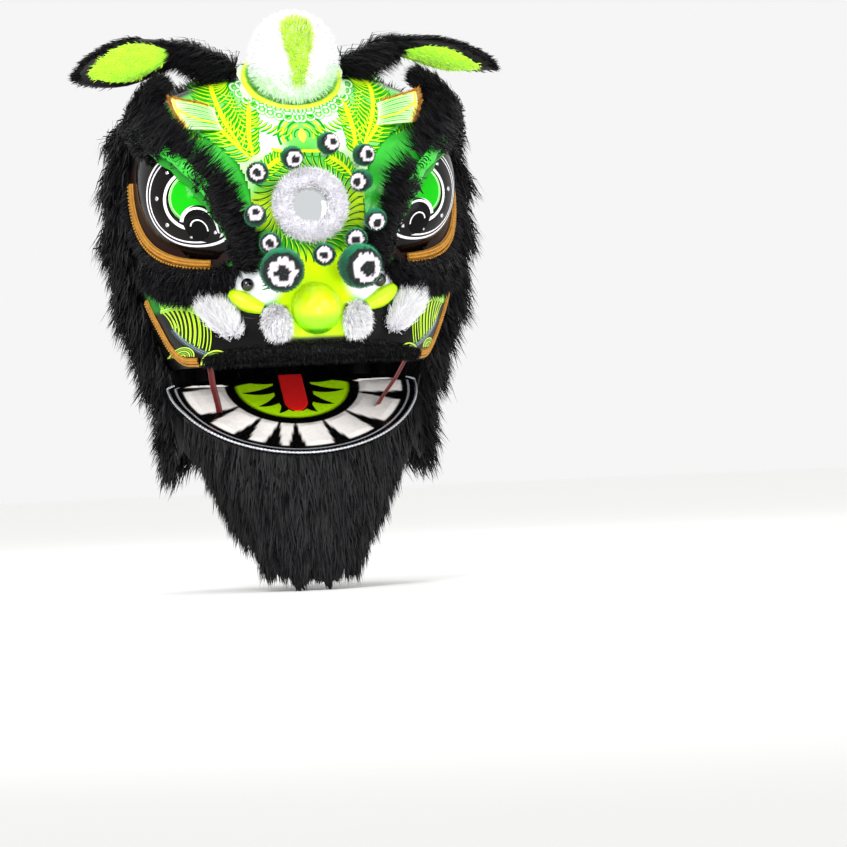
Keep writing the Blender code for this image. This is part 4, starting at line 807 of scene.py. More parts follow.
def build_eye(side, label):
    """Lacquered dome with its painted rings, studs, lid and braid."""
    eye = eye_frame(side)
    half = eye[4]
    body = "eyelid_" + label

    def place(s, t, lift):
        return dome(eye, np.clip(s / half, -0.99, 0.99), np.degrees(t / 0.117), lift)

    share = np.linspace(-0.9965, 0.9965, 56)[:, None]
    angle = np.linspace(-42, 118, 64)[None, :]
    outer = dome(eye, share, angle)
    inner = dome(eye, share, angle, -0.0025)
    rows, columns = outer.shape[:2]
    quads = grid_faces(rows, columns)
    if side > 0:
        quads = quads[:, ::-1]
    verts = np.vstack([outer.reshape(-1, 3), inner.reshape(-1, 3)])
    faces = [quads, quads[:, ::-1] + rows * columns]
    dress("pupil_" + label, "pupil")
    new_mesh("eye_dome_" + label, verts, faces, FINISHES["eye"], "head", ["eye_" + label], "eye",
             np.tile(linear("#0A0605"), (len(verts), 1)))

    lines = Lines(place)
    for radius, width, start, end, s, t, colour, lift in EYE_RINGS:
        if width > 1.9 * radius:
            lines.disc((s, t), 2 * radius, colour, lift / 1000 + 0.0005)
        else:
            lines.add(arcs([(s, t)], [radius], start, end, 96), width, colour, lift / 1000, mirrored=False)
    lines.make("eye_paint_" + label, "eye", "head", "eye")

    turn = np.radians(np.linspace(10, 180, settings().eye_studs))
    along = (STUD_MIDDLE[0] + STUD_RING * np.cos(turn)) / 1000
    down = (STUD_MIDDLE[1] + STUD_RING * np.sin(turn)) / 1000
    spots = place(along, down, LID_CLEARANCE - STUD_GAP - STUD_RADIUS)
    balls("eye_studs_" + label, spots, np.full(len(spots), STUD_RADIUS), "stud", "eye")
    rim = eye_rim(eye, LID_SLOT + BRAID_WIDTH / 2, 420)
    build_band("braid_eye_" + label, ["eye_braid_" + label], rim, eye[0], 46,
               settings().braid_width * 1.15, 0.0052)
    rng = np.random.default_rng(97 + side)
    edge = eye_rim(eye, LID_SLOT + BRAID_WIDTH * 1.2, 2600)
    away = unit(edge - eye[0] - eye[1] * ((edge - eye[0]) @ eye[1])[:, None])
    blades = hairs(edge, outward(edge), away, 0.024, 0.0015, rng, lift=0.35, clump=0.95, cell=0.008, sag=0.3)
    quads, tips = hair_faces(len(edge))
    new_mesh("lash_" + label, blades, [quads, tips], FINISHES["fur"], "head", (), "fur",
             hair_paint(len(edge), "#020203", "#141318", rng, 0.2))

    angle = np.linspace(LID_EDGE - LID_WIDTH, LID_EDGE, 32)[None, :]
    share = np.linspace(-1, 1, 48)[:, None]
    fold = 0.0006 * np.sin(np.radians(angle) * 40)
    outer = dome(eye, share, angle, LID_CLEARANCE + 0.0018 + fold)
    inner = dome(eye, share, angle, LID_CLEARANCE)
    grid = np.concatenate([outer, inner[:, ::-1]], axis=1)
    rows, columns = grid.shape[:2]
    quads = grid_faces(rows, columns, True)
    if side > 0:
        quads = quads[:, ::-1]
    new_mesh("lid_" + label, grid, [quads], FINISHES["satin"], body, ["eyelid_" + label], "satin")


def dress(node, finish_name):
    """Gives a frame node that stays visible its finish."""
    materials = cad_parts[node].data.materials
    materials.clear()
    materials.append(FINISHES[finish_name])


def sphere(n):
    """Unit sphere: (sin a cos b, sin a sin b, cos a) for n steps of b round it and n/2 of a down it."""
    lat = np.linspace(0, math.pi, n // 2 + 1)[:, None]
    lon = np.linspace(0, 2 * math.pi, n, endpoint=False)[None, :]
    ball = np.broadcast_arrays(np.sin(lat) * np.cos(lon), np.sin(lat) * np.sin(lon), np.cos(lat))
    return np.stack(ball, -1).reshape(-1, 3), grid_faces(n // 2 + 1, n, True)[:, ::-1]


def balls(name, centres, radii, finish_name, slot, replaces=(), n=20):
    """Spheres about many centres."""
    ball, faces = sphere(n)
    points = np.asarray(centres)[:, None] + ball[None] * np.asarray(radii)[:, None, None]
    many = (faces[None] + (np.arange(len(centres)) * len(ball))[:, None, None]).reshape(-1, 4)
    new_mesh(name, points, [many], FINISHES[finish_name], "head", list(replaces), slot)


def toward(*parts):
    """Flow that is the same everywhere."""
    direction = unit(np.array(parts, float))
    return lambda place, normal: np.broadcast_to(direction, place.shape)


def mane_flow(place, normal):
    """Down and away from the head's middle line."""
    away = unit(place * np.array([1, 1, 0]))
    return unit(away * 0.35 - UP + 0.12 * np.sin(place[:, [1, 2, 0]] * 60))


def outside(place, normal):
    """Share of fur on a face: none on the side that lies on the head."""
    away = outward(place)
    return np.where(np.sum(away * normal, axis=1) < -0.3, 0.02, 1.0)


def dome_reach(side, p):
    """Distance of points outside the eye's dome."""
    centre, along, out, down, half = eye_frame(side)
    rel = p - centre
    share = np.clip(rel @ along / half, -1, 1)
    radius = EYE_END_RADIUS + (EYE_MID_RADIUS - EYE_END_RADIUS) * (1 - share**2)
    beyond = np.maximum(np.abs(rel @ along) - half, 0)
    return np.hypot(rel @ out, rel @ down) - radius + 3 * beyond


def clear_of(node, reach):
    """Share of fur on a face: none within reach of another node, full elsewhere off the head's skin."""
    points = cad_mesh(node)[0]

    def keep(place, normal):
        near = np.min(np.linalg.norm(place[:, None] - points[None], axis=2), axis=1)
        return outside(place, normal) * np.where(near < reach, 0.0, 1.0)

    return keep


def build_dark_fur():
    """Black fur: manes, brows, strips under the eyes, lip, ears and beard."""
    for side, label in ((-1, "left"), (1, "right")):
        fur("mane_fur_" + label, "mane_" + label, 58000, 0.056, 0.0023, mane_flow, keep=outside,
            seed=3 + side, lift=0.22, clump=0.8, cell=0.022, sag=0.6, bright=0.05)
        build_brow(side, label)
        fur("under_eye_pile_" + label, "under_eye_fur_" + label, 9000, 0.027, 0.0019,
            toward(side * 0.25, -0.2, -0.9), keep=outside, seed=23 + side, lift=0.55, clump=0.95, cell=0.014,
            wild=0.4, sag=0.3)
        ear = fur("ear_fur_" + label, "ear_" + label, 15000,
            lambda place: 0.018 + 0.034 * (1 - soft(np.abs(place[:, :1]), 0.20, 0.10)), 0.0014,
            toward(side * 0.9, -0.1, -0.15), "ear_" + label, keep=clear_of("ear_lining_" + label, 0.015),
            seed=33 + side, lift=0.6, clump=0.8, cell=0.012, sag=0.9)
    rng = np.random.default_rng(48)
    count, width = thinned(17000, 0.0021)
    turns, heights = rng.uniform(100, 260, count), 0.85 + 0.143 * rng.random(count) ** 0.7
    root = around(turns, heights, -0.001)
    normal = outward(root)
    flow = unit(np.array([0.0, 1.0, 0.15]) + normal * 0.3)
    blades = hairs(root, normal, flow, 0.044, width, rng, lift=0.35, clump=0.8, cell=0.018, sag=0.4)
    quads, tips = hair_faces(len(root))
    new_mesh("crown_fur", blades, [quads, tips], FINISHES["fur"], "head", (), "fur",
             hair_paint(len(root), "#020203", "#0D0C10", rng, 0.25, 0.05))
    fur("lip_pile", "lip_fur", 10000, 0.012, 0.0011, toward(0, -0.5, -0.6), keep=outside, seed=43, lift=0.7,
        clump=0.7, cell=0.009)

    def below(place, normal):
        """Hair starts below the jaw's edge."""
        return np.where(normal[:, 2] > 0.3, 0.0, 1.0)

    fur("beard_fur", "beard", 42000,
        lambda place: 0.055 * np.clip((place[:, 2:] - CAD_BOUNDS[0][2]) / 0.07, 0.3, 1.0), 0.0022,
        toward(0, 0.05, -1.0), "jaw", keep=below, seed=53, lift=0.12, clump=0.75, cell=0.022, sag=0.9,
        wild=0.12)


def build_brow(side, label):
    """Brow: long tufts on its forehead side, bare green satin where it lies against the eye."""
    ribbon = clear_of("brow_ribbon_" + label, 0.006)

    def keep(place, normal):
        """No hair beside the lid or on the ribbon."""
        return ribbon(place, normal) * soft(dome_reach(side, place), 0.0312, 0.006)

    def skin(verts):
        """Satin beside the lid, black under the hair."""
        share = 1 - soft(dome_reach(side, verts), 0.0312, 0.004)[:, None]
        return linear("#020203") * (1 - share) + linear("#0F9A14") * share

    def reach(place):
        """Hair is longest in the middle of the brow's height, on the forehead side."""
        middle = np.exp(-(((place[:, 2:] - 0.40) / 0.075) ** 2))
        return 0.026 + 0.030 * middle

    fur("brow_fur_" + label, "brow_" + label, 21000, reach, 0.0016, toward(-side * 0.8, -0.2, 0.42),
        keep=keep, base=skin, seed=13 + side, lift=0.55, clump=0.93, cell=0.014, sag=0.0, wild=0.32)


def radial_from(centre):
    """Flow straight away from a centre."""
    return lambda place, normal: unit(place - np.asarray(centre))


def build_white_fur():
    """White plush: horn, mirror ring, nostrils; lime plush on the horn and in the ears."""
    white = {"root": "#EDEAF4", "tip": "#FFFFFF", "kind": "plush", "slot": "white_fur", "spread": 0.05,
             "bright": 0.0}
    lime = {"root": "#B4E010", "tip": "#E8FF32", "kind": "plush", "slot": "lime", "spread": 0.08,
            "bright": 0.0}
    low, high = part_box("horn")
    centre = [(low[0] + high[0]) / 2, (low[1] + high[1]) / 2, high[2] - 0.09]

    def glow(place, colours, rng):
        """Pale green cast low on the ball."""
        share = np.clip((centre[2] - 0.005 - place[:, 2]) / 0.05, 0, 0.75)[:, None, None]
        return colours * (1 - share) + linear("#BFF7A8") * share

    horn = fur("horn_fur", "horn", 16000, 0.013, 0.0011, radial_from(centre), seed=61, lift=0.9, clump=0.35,
        cell=0.008, sag=0.1, wild=0.35, shade=glow, **{**white, "tip": "#F1EFF6"})
    fur("horn_patch_fur", "horn_patch", 4500, 0.011, 0.0011, radial_from(centre), seed=62, lift=0.9,
        clump=0.4, cell=0.007, sag=0.1, **lime)
    ring = fur("mirror_plush", "mirror_fur", 15000, 0.0125, 0.0011, toward(0, -0.5, 0.1), keep=outside,
        seed=63, lift=0.8, clump=0.45, cell=0.006, sag=0.0, wild=0.6, **white)
    for side, label in ((-1, "left"), (1, "right")):
        fur("nostril_plush_" + label, "nostril_fur_" + label, 9000, 0.030, 0.0012,
            toward(side * 0.2, -0.3, 0.75), keep=outside, seed=71 + side, lift=0.6, clump=0.8, cell=0.012,
            sag=0.0, wild=0.45, **white)
        fur("inner_nostril_plush_" + label, "inner_nostril_" + label, 6500, 0.018, 0.0011,
            toward(side * 0.1, -0.6, -0.4), keep=outside, seed=74 + side, lift=0.8, clump=0.75, cell=0.010,
            wild=0.4, **white)
        fur("ear_plush_" + label, "ear_lining_" + label, 3500, 0.010, 0.0012, toward(side, 0, 0.2),
            "ear_" + label, seed=77 + side, lift=0.6, clump=0.4, cell=0.008,
            **{**lime, "root": "#A6F00A", "tip": "#DCFF28"})


POMPOMS = (
    # node, where its ring sits off the ball's middle as seen from the front, as shares of the radius
    ("pompom_01", 0.0, 0.0), ("pompom_02", 0.36, -0.27), ("pompom_03", 0.5, 0.1),
    ("pompom_04", 0.5, 0.0), ("pompom_05", -0.42, -0.18), ("pompom_06", 0.1, 0.27),
    ("pompom_07", 0.18, -0.4), ("pompom_08", 0.0, -0.05), ("pompom_09", 0.05, -0.05),
    ("pompom_10", 0.0, 0.0), ("big_pompom_left", 0.05, -0.18), ("big_pompom_right", 0.42, -0.16),
)


def build_pompoms():
    """Velvet balls with a ragged white ring round a black middle, each on its coil spring."""
    rng = np.random.default_rng(81)
    for node, dx, dz in POMPOMS:
        big = node.startswith("big")
        radius = 0.043 if big else 0.022
        verts, _ = cad_mesh(node)
        low = verts[:, 1].min()
        centre = verts[verts[:, 1] < low + 2 * radius - 0.002].mean(axis=0)
        centre = np.array([(verts[:, 0].max() + verts[:, 0].min()) / 2, low + radius, centre[2]])
        centre[2] = (verts[:, 2].max() + verts[:, 2].min()) / 2
        facing = CAMERA_RIGHT * dx + UP * dz + CAMERA_TOWARD * math.sqrt(1 - dx * dx - dz * dz)
        ball, ball_faces = sphere(48 if big else 30)

        def colour(ray):
            """Black middle, ragged lilac-white ring, green-black velvet outside."""
            near = np.degrees(np.arccos(np.clip(ray @ facing, -1, 1)))
            ragged = 3.0 * np.sin(ray[:, 0] * 23 + dx * 9) + 2.5 * np.sin(ray[:, 2] * 31 + dz * 7)
            inner, edge = (22, 40) if big else (22, 43)
            # Painted light: the outer velvet runs from shaded dark green under the ball to lit green on top.
            velvet_shade_green, lit = linear("#00402A"), linear("#0F8A5C")
            velvet = velvet_shade_green + (lit - velvet_shade_green) * np.clip(ray[:, 2:3], 0, 1) ** 2
            rows = np.where((near < edge + ragged)[:, None], linear("#EFE0EC"), velvet)
            dark = (near > edge + ragged) & (near < edge + 22)
            rows = np.where(dark[:, None], linear("#03120C"), rows)
            return np.where((near < inner + ragged * 0.8)[:, None], linear("#050306"), rows), near, edge

        skin, _, _ = colour(ball)
        count = 1900 if big else 700
        root = unit(rng.normal(0, 1, (count, 3)))
        tone, near, edge = colour(root)
        long = np.where(near < edge, 1.6, 1.0)[:, None] * (0.0034 if big else 0.0024)
        blades = hairs(centre + root * radius * 0.985, root, root, long, 0.0010, rng, lift=1.0, clump=0.0,
                       sag=0.05, wild=0.35)
        quads, tips = hair_faces(count, len(ball))
        foot = face_foot(centre, verts)
        coil, coil_faces = spring(foot, centre - unit(centre - foot) * radius * 0.9,
                                  len(ball) + count * 5)
        points = np.vstack([centre + ball * radius * 0.985, blades.reshape(-1, 3), coil])
        paint = np.vstack([skin, np.repeat(tone, 5, axis=0), np.tile(linear("#9C9C9C"), (len(coil), 1))])
        new_mesh(node + "_velvet", points, [ball_faces, quads, tips, coil_faces], FINISHES["velvet"], "head",
                 [node], "velvet", paint)


def face_foot(centre, verts):
    """End of the ball's stem on the face: the node's point farthest from its middle."""
    far = np.argsort(np.linalg.norm(verts - centre, axis=1))[-6:]
    return verts[far].mean(axis=0)


def spring(start, end, first, turns=7, radius=0.0042, wire=0.0007):
    """Coil: a small ring carried along a helix about the line from start to end."""
    axis = unit(end - start)
    side = unit(np.cross(axis, UP))
    rise = np.cross(side, axis)
    t = np.linspace(0, 1, turns * 9 + 1)[:, None]
    turn = t * turns * 2 * math.pi
    ray = side * np.cos(turn) + rise * np.sin(turn)
    line = start + (end - start) * t + ray * radius
    a = np.linspace(0, 2 * math.pi, 6)[:-1]
    ring = line[:, None] + (ray[:, None] * np.cos(a)[None, :, None] + axis * np.sin(a)[None, :, None]) * wire
    return ring.reshape(-1, 3), grid_faces(len(line), 5, True, first)


def rounded(node, voxel, passes):
    """Copy of a node's merged skin, remeshed at a voxel size and relaxed, as vertices and quads."""
    verts, tris = cad_mesh(node)
    mesh = bpy.data.meshes.new("rounding")
    mesh.from_pydata(verts.tolist(), [], tris.tolist())
    helper = bpy.data.objects.new("rounding", mesh)
    bpy.context.scene.collection.objects.link(helper)
    grain = helper.modifiers.new("grain", "REMESH")
    grain.mode, grain.voxel_size = "VOXEL", voxel
    relax = helper.modifiers.new("relax", "SMOOTH")
    relax.factor, relax.iterations = 0.5, passes
    done = bpy.data.meshes.new_from_object(helper.evaluated_get(bpy.context.evaluated_depsgraph_get()))
    points = np.empty(len(done.vertices) * 3)
    done.vertices.foreach_get("co", points)
    quads = np.empty(len(done.loops), dtype=np.int32)
    done.loops.foreach_get("vertex_index", quads)
    bpy.data.objects.remove(helper)
    return points.reshape(-1, 3), quads.reshape(-1, 4)


def soft_copy(name, node, voxel, passes, finish_name, slot, colour, body="head"):
    """Rounded copy of a node, painted by a function of its points or in one colour."""
    verts, quads = rounded(node, voxel, passes)
    paint = colour(verts) if callable(colour) else np.tile(linear(colour), (len(verts), 1))
    return new_mesh(name, verts, [quads], FINISHES[finish_name], body, [node], slot, paint)


def build_nose():
    """Glossy lime bulb, its two wings, beads and the black hollows beside them."""

    def bulb(p):
        """Yellow-lime above, greener towards the chin, dark along the lowest edge."""
        share = soft(p[:, 2], 0.092, 0.03)[:, None]
        # Painted shade: the lowest edge of the bulb darkens to deep green.
        low_shade_step = soft(p[:, 2], 0.064, 0.010)[:, None]
        body = linear("#CDFB12") * share + linear("#8FE40C") * (1 - share)
        return body * low_shade_step + linear("#4FA80A") * (1 - low_shade_step)

    soft_copy("nose_bulb", "nose", 0.0030, 9, "lime", "lime", bulb)
    for side, label in ((-1, "left"), (1, "right")):
        soft_copy("wing_" + label, "nostril_wing_" + label, 0.0018, 10, "lime", "lime", "#C2F516")
        low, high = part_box("nose_bead_" + label)
        middle = (np.array(low) + np.array(high)) / 2
        balls("bead_" + label, [middle], [(high[0] - low[0]) / 2], "bead", "black",
              ["nose_bead_" + label], 32)


def build_mirror():
    """Round glass in a plated rim, slightly domed."""
    low, high = (np.array(v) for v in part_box("mirror"))
    verts = cad_mesh("mirror")[0]
    middle = (low + high) / 2
    out = outward(middle)
    side = unit(np.cross(UP, out))
    rise = np.cross(out, side)
    radius = (high[0] - low[0]) / 2
    front = ((verts - middle) @ out).max()
    for name, profile, finish_name, slot in (
        ("mirror_glass", ((0, 0.0016), (0.5, 0.0012), (0.86, 0.0004), (0.92, -0.0002)), "mirror", "mirror"),
        ("mirror_rim", ((0.90, -0.003), (0.90, 0.0012), (0.93, 0.0022), (0.97, 0.0020), (1.0, 0.0006),
                        (1.0, -0.006)), "frame", "silver"),
    ):
        turn = np.linspace(0, 2 * math.pi, 72, endpoint=False)[None, :, None]
        rows = np.array(profile)
        ring = (side * np.cos(turn) + rise * np.sin(turn)) * rows[:, 0][:, None, None] * radius
        grid = middle + ring + out * (front + rows[:, 1])[:, None, None]
        new_mesh(name, grid, [grid_faces(len(rows), 72, True)], FINISHES[finish_name], "head",
                 ["mirror"] if name == "mirror_glass" else [], slot)


def tube(line, radius, sides):
    """Tube round a path: each ring stands square to the path's direction."""
    line = np.asarray(line, float)
    ahead = unit(np.gradient(line, axis=0))
    side = unit(np.cross(ahead, UP + 0.01))
    rise = np.cross(side, ahead)
    a = np.linspace(0, 2 * math.pi, sides, endpoint=False)[None, :, None]
    size = np.broadcast_to(radius, (len(line),))[:, None, None]
    grid = line[:, None] + (side[:, None] * np.cos(a) + rise[:, None] * np.sin(a))
    grid = line[:, None] + (grid - line[:, None]) * size
    return grid.reshape(-1, 3), grid_faces(len(line), sides, True)


def build_horn_trim():
    """Lime cord, lace petals and green tufts round the foot of the horn."""
    low, high = (np.array(v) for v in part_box("horn_collar"))
    fine, quads = rounded("horn_collar", 0.0023, 3)
    middle = (low + high) / 2
    axis = unit(np.array([0, -math.sin(math.radians(44)), math.cos(math.radians(44))]))
    height = (fine - middle) @ axis
    flat = (fine - middle) - axis * height[:, None]
    turn = np.degrees(np.arctan2(flat[:, 0], -flat[:, 1]))
    reach = np.linalg.norm(flat, axis=1)
    lace = np.abs(np.sin(np.radians(turn) * 14)) * np.clip((reach - 0.075) / 0.02, 0, 1)
    inner = (reach < 0.0905)[:, None]
    mint, cord = linear("#D9F5CE"), linear("#D6E834")
    tone = np.where(inner, cord, mint * (1 - 0.3 * lace[:, None]) + linear("#A8E88C") * 0.3 * lace[:, None])
    new_mesh("horn_lace", fine, [quads], FINISHES["felt"], "head", ["horn_collar"], "shell", tone)
    rng = np.random.default_rng(91)
    count = 5200
    a = np.radians(rng.uniform(-115, 115, count))
    front = unit(np.array([0.0, -1.0, 0.0]) - axis * np.dot([0.0, -1.0, 0.0], axis))
    side = np.cross(axis, front)
    low_h, high_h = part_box("horn")
    ball = np.array([(low_h[0] + high_h[0]) / 2, (low_h[1] + high_h[1]) / 2, high_h[2] - 0.086])
    ray = front * np.cos(a)[:, None] + side * np.sin(a)[:, None]
    root = ball - axis * 0.052 + ray * rng.uniform(0.070, 0.080, (count, 1))
    blades = hairs(root, ray, axis * 0.6 + ray * 0.5, 0.019, 0.0016, rng, lift=0.5, clump=0.7, cell=0.012,
                   sag=-0.1, wild=0.3)
    quads, tips = hair_faces(count)
    a = np.linspace(-math.pi, math.pi, 181)[:-1]
    ring = ball - axis * 0.050 + (front * np.cos(a)[:, None] + side * np.sin(a)[:, None]) * 0.0925
    ring = np.vstack([ring, ring[:1]])
    points, cord = tube(ring, 0.0072, 12)
    new_mesh("horn_cord", points, [cord], FINISHES["lime"], "head", (), "lime",
             np.tile(linear("#DDEB32"), (len(points), 1)))
    new_mesh("horn_tufts", blades, [quads, tips], FINISHES["plush"], "head", (), "leaf",
             hair_paint(count, "#0A9A12", "#7BEB2B", rng, 0.2))


def build_plates():
    """Painted plates at the forehead's upper corners, with feather lines and a gold fringe."""
    for side, label in ((-1, "left"), (1, "right")):
        s, t = np.linspace(0, 1, 46)[:, None], np.linspace(0, 1, 30)[None, :]
        inner = np.array((0.50, 0.790)), np.array((0.58, 0.868))
        outer = np.array((0.68, 0.772)), np.array((0.835, 0.872))

        def spot(u, v):
            """Share of the half width and height at u along and v up the plate."""
            low = inner[0] * (1 - v[..., None]) + inner[1] * v[..., None]
            high = outer[0] * (1 - v[..., None]) + outer[1] * v[..., None]
            return low * (1 - u[..., None]) + high * u[..., None]

        s, t = np.broadcast_arrays(s, t)
        at = spot(s, t)
        lift = s * 0.030 + 0.0035
        front = face_point(side * at[..., 0], at[..., 1], lift)
        back = face_point(side * at[..., 0], at[..., 1], lift - 0.0022)
        grid = np.concatenate([front, back[:, ::-1]], axis=1)
        quads = grid_faces(grid.shape[0], grid.shape[1], True)
        if side < 0:
            quads = quads[:, ::-1]
        tone = np.tile(linear("#CBF7B0"), (grid.shape[0] * grid.shape[1], 1))
        new_mesh("plate_" + label, grid, [quads], FINISHES["shell"], "head", ["forehead_plate_" + label],
                 "shell", tone)

        def place(u, v, rise):
            """Millimetre plate coordinates to space."""
            u, v = np.asarray(u) * 10, np.asarray(v) * 10
            at = spot(np.clip(u, 0, 1), np.clip(v, 0, 1))
            return face_point(side * at[..., 0], at[..., 1], np.clip(u, 0, 1) * 0.030 + 0.0036 + rise)

        lines = Lines(place)
        for k, v in enumerate(np.linspace(8, 94, 12)):
            lines.add(bend((6, v - 4), (88, v), 0.1), 4.4, ("#19B512", "#7FE060")[k % 2], 0.0003,
                      mirrored=False, shape=taper(12))
        lines.add(bend((2, 30), (92, 64), -0.25), 9.0, "#D8F53C", 0.0006, mirrored=False)
        lines.add(np.array([(96, 3), (96, 50), (96, 97), (60, 97), (20, 97)]), 6, "#F0D24A", 0.0008,
                  mirrored=False)
        lines.make("plate_lines_" + label, "line")
        rng = np.random.default_rng(95 + side)
        edge = np.concatenate([np.stack([np.ones(220), np.linspace(0, 1, 220)], 1),
                               np.stack([np.linspace(1, 0.1, 160), np.ones(160)], 1)])
        root = place(edge[:, 0] / 10, edge[:, 1] / 10, -0.001)
        normal = outward(root)
        flow = unit(np.array([side * 0.8, -0.1, 0.6])) + np.zeros_like(root)
        blades = hairs(root, normal, flow, 0.011, 0.0026, rng, lift=0.3, clump=0.3, sag=0.0, wild=0.2)
        quads, tips = hair_faces(len(root))
        new_mesh("plate_fringe_" + label, blades, [quads, tips], FINISHES["gold"], "head", (), "gold")


def build_brow_ribbons():
    """Green satin ribbon in folds along the foot of each brow, and braid down each cheek."""
    for side, label in ((-1, "left"), (1, "right")):
        soft_copy("brow_satin_" + label, "brow_ribbon_" + label, 0.0016, 5, "satin", "satin", "#1FA51E")
        path = catmull(((0.985, 0.235), (0.975, 0.150), (0.965, 0.070), (0.930, 0.030), (0.850, 0.022)), 60)
        line = face_point(side * path[:, 0], path[:, 1])
        build_band("braid_cheek_" + label, ["cheek_braid_" + label], line, face_point(0.0, 0.2), 40)


def jaw_point(x, ahead, lift=0.0):
    """Point of the jaw's dished floor, x and ahead in the jaw's own plane, turned by the open angle."""
    x, ahead, lift = np.broadcast_arrays(x, ahead, lift)
    turn = np.radians(JAW_OPEN)
    reach = np.hypot(x / (JAW_WIDTH / 2), (ahead - JAW_WIDEST) / (JAW_LENGTH - JAW_WIDEST))
    dish = JAW_DISH * np.clip((reach - 0.6) / 0.4, 0, 1) ** 2 * np.clip((ahead - JAW_WIDEST) / 0.1, 0, 1)
    y, z = -ahead, dish - JAW_DROP + lift
    return np.stack([x + JAW_SHIFT, JAW_HINGE[1] + y * np.cos(turn) - z * np.sin(turn),
                     JAW_HINGE[2] + y * np.sin(turn) + z * np.cos(turn)], axis=-1)


RIBBON_WIDTH = 0.0165
TEETH_GAPS = (-6, 15, 46, 71, 95, 108, 125, 149, 181)
CORD_SPAN = (-20, 200)  # degrees round the jaw's outline


def jaw_ahead(turn, shares=1.0):
    """Distance ahead of the hinge at an angle of the jaw's outline, and a share of the way out to it."""
    reach = np.where(np.sin(turn) >= 0, JAW_LENGTH - JAW_WIDEST, JAW_WIDEST - JAW_BACK)
    return JAW_WIDEST + np.sin(turn) * reach * shares


def build_jaw():
    """Jaw: painted floor, relief teeth parted by black wedges, felt tongue, silver cord along the edge."""
    angles = np.linspace(0, 360, 289)[:-1][None, :]
    shares = np.concatenate([np.linspace(0, 0.5, 17), np.linspace(0.507, 1.0, 63)])[:, None]
    turn = np.radians(angles)
    ahead_part = np.sin(turn) >= 0
    x = np.where(ahead_part, np.cos(turn), np.cos(turn) * (1 + 0.16 * np.sin(turn))) * JAW_WIDTH / 2 * shares
    ahead = jaw_ahead(turn, shares)
    gap = np.min([np.abs((angles - g + 180) % 360 - 180) for g in TEETH_GAPS], axis=0)
    wedge = 1.0 + 3.6 * np.clip((shares - 0.53) / 0.35, 0, 1)
    tooth = soft(gap, wedge, 0.9) * soft(shares, 0.545, 0.012) * (1 - soft(shares, 0.885, 0.015))
    tooth = tooth * soft(np.abs((angles - 88 + 180) % 360 - 180), 104, -6)
    crown = np.sqrt(np.clip((gap - wedge) / 8, 0, 1)) * np.clip((shares - 0.545) / 0.05, 0, 1)
    crown = crown * np.clip((0.885 - shares) / 0.05, 0, 1)
    top = jaw_point(x, ahead, 0.0012 + 0.0045 * crown * tooth)
    few = np.r_[0 : len(shares) - 1 : 8, len(shares) - 1]
    under = jaw_point(x, ahead, -JAW_WALL)[few]
    floor = (1 - soft(shares, 0.452, 0.008)) + 0 * angles
    lime, black = linear("#B4F00A"), linear("#030303")
    colour = np.broadcast_to(black, top.shape).copy()
    colour = colour * (1 - floor[..., None]) + lime * floor[..., None]
    # Painted shade: the teeth darken to about four fifths of their white towards their outer ends.
    shade = 0.82 + 0.18 * np.clip((0.885 - shares) / 0.3, 0, 1) + 0 * angles
    colour = colour * (1 - tooth[..., None]) + linear("#F1ECE8") * (tooth * shade)[..., None]
    line = ((shares > 0.93) & (shares < 0.945) & (angles < 190)) + 0 * angles
    colour = np.where(line[..., None] > 0, linear("#8E9094"), colour)
    rows, columns = top.shape[:2]
    quads = grid_faces(rows, columns, True)
    verts = np.vstack([top.reshape(-1, 3), under.reshape(-1, 3)])
    below = grid_faces(len(few), columns, True, rows * columns)[:, ::-1]
    edge = np.stack([np.arange(columns), np.roll(np.arange(columns), -1)], axis=1)
    rim = np.hstack([edge + (rows - 1) * columns, edge[:, ::-1] + (rows + len(few) - 1) * columns])
    paint = np.vstack([colour.reshape(-1, 3), np.tile(linear("#1A1A18"), (len(few) * columns, 1))])
    new_mesh("jaw_painted", verts, [quads, below, rim], FINISHES["lime"], "jaw", ["jaw"], "teeth", paint)
    lines = Lines(lambda x, a, lift: jaw_point(x, a, lift + 0.0012))
    t = np.linspace(0, 1, 24)
    body = np.array([(-22, 20), (-26, 70), (-20, 108), (0, 128)])
    lines.add(catmull(body, 8), 26, "#040404", 0.0004)
    lines.add(np.array([(0, 10), (0, 60), (0, 110), (0, 126)]), 40, "#040404", 0.0005, mirrored=False)
    for start, tip, bow in (((-20, 100), (-38, 141), -0.25), ((-24, 78), (-76, 116), -0.25),
                            ((-24, 50), (-102, 68), -0.22), ((-20, 24), (-106, 22), -0.2)):
        lines.add(bend(start, tip, bow, 24), 21, "#040404", 0.0006, shape=(1 - t**2.2) + 0.05)
    lines.make("jaw_floor_paint", "line", "jaw", "black")
    soft_copy("tongue_felt", "tongue", 0.0024, 4, "felt", "red", "#E00000", "jaw")
    turn = np.radians(np.linspace(*CORD_SPAN, 400))
    line = jaw_point(np.cos(turn) * JAW_WIDTH / 2, jaw_ahead(turn), 0.0)
    points, quads = tube(line, 0.0026 + 0.0006 * np.sin(np.arange(400) * 1.9), 10)
    new_mesh("jaw_cord", points, [quads], FINISHES["silver"], "jaw", ["jaw_rim"], "silver")


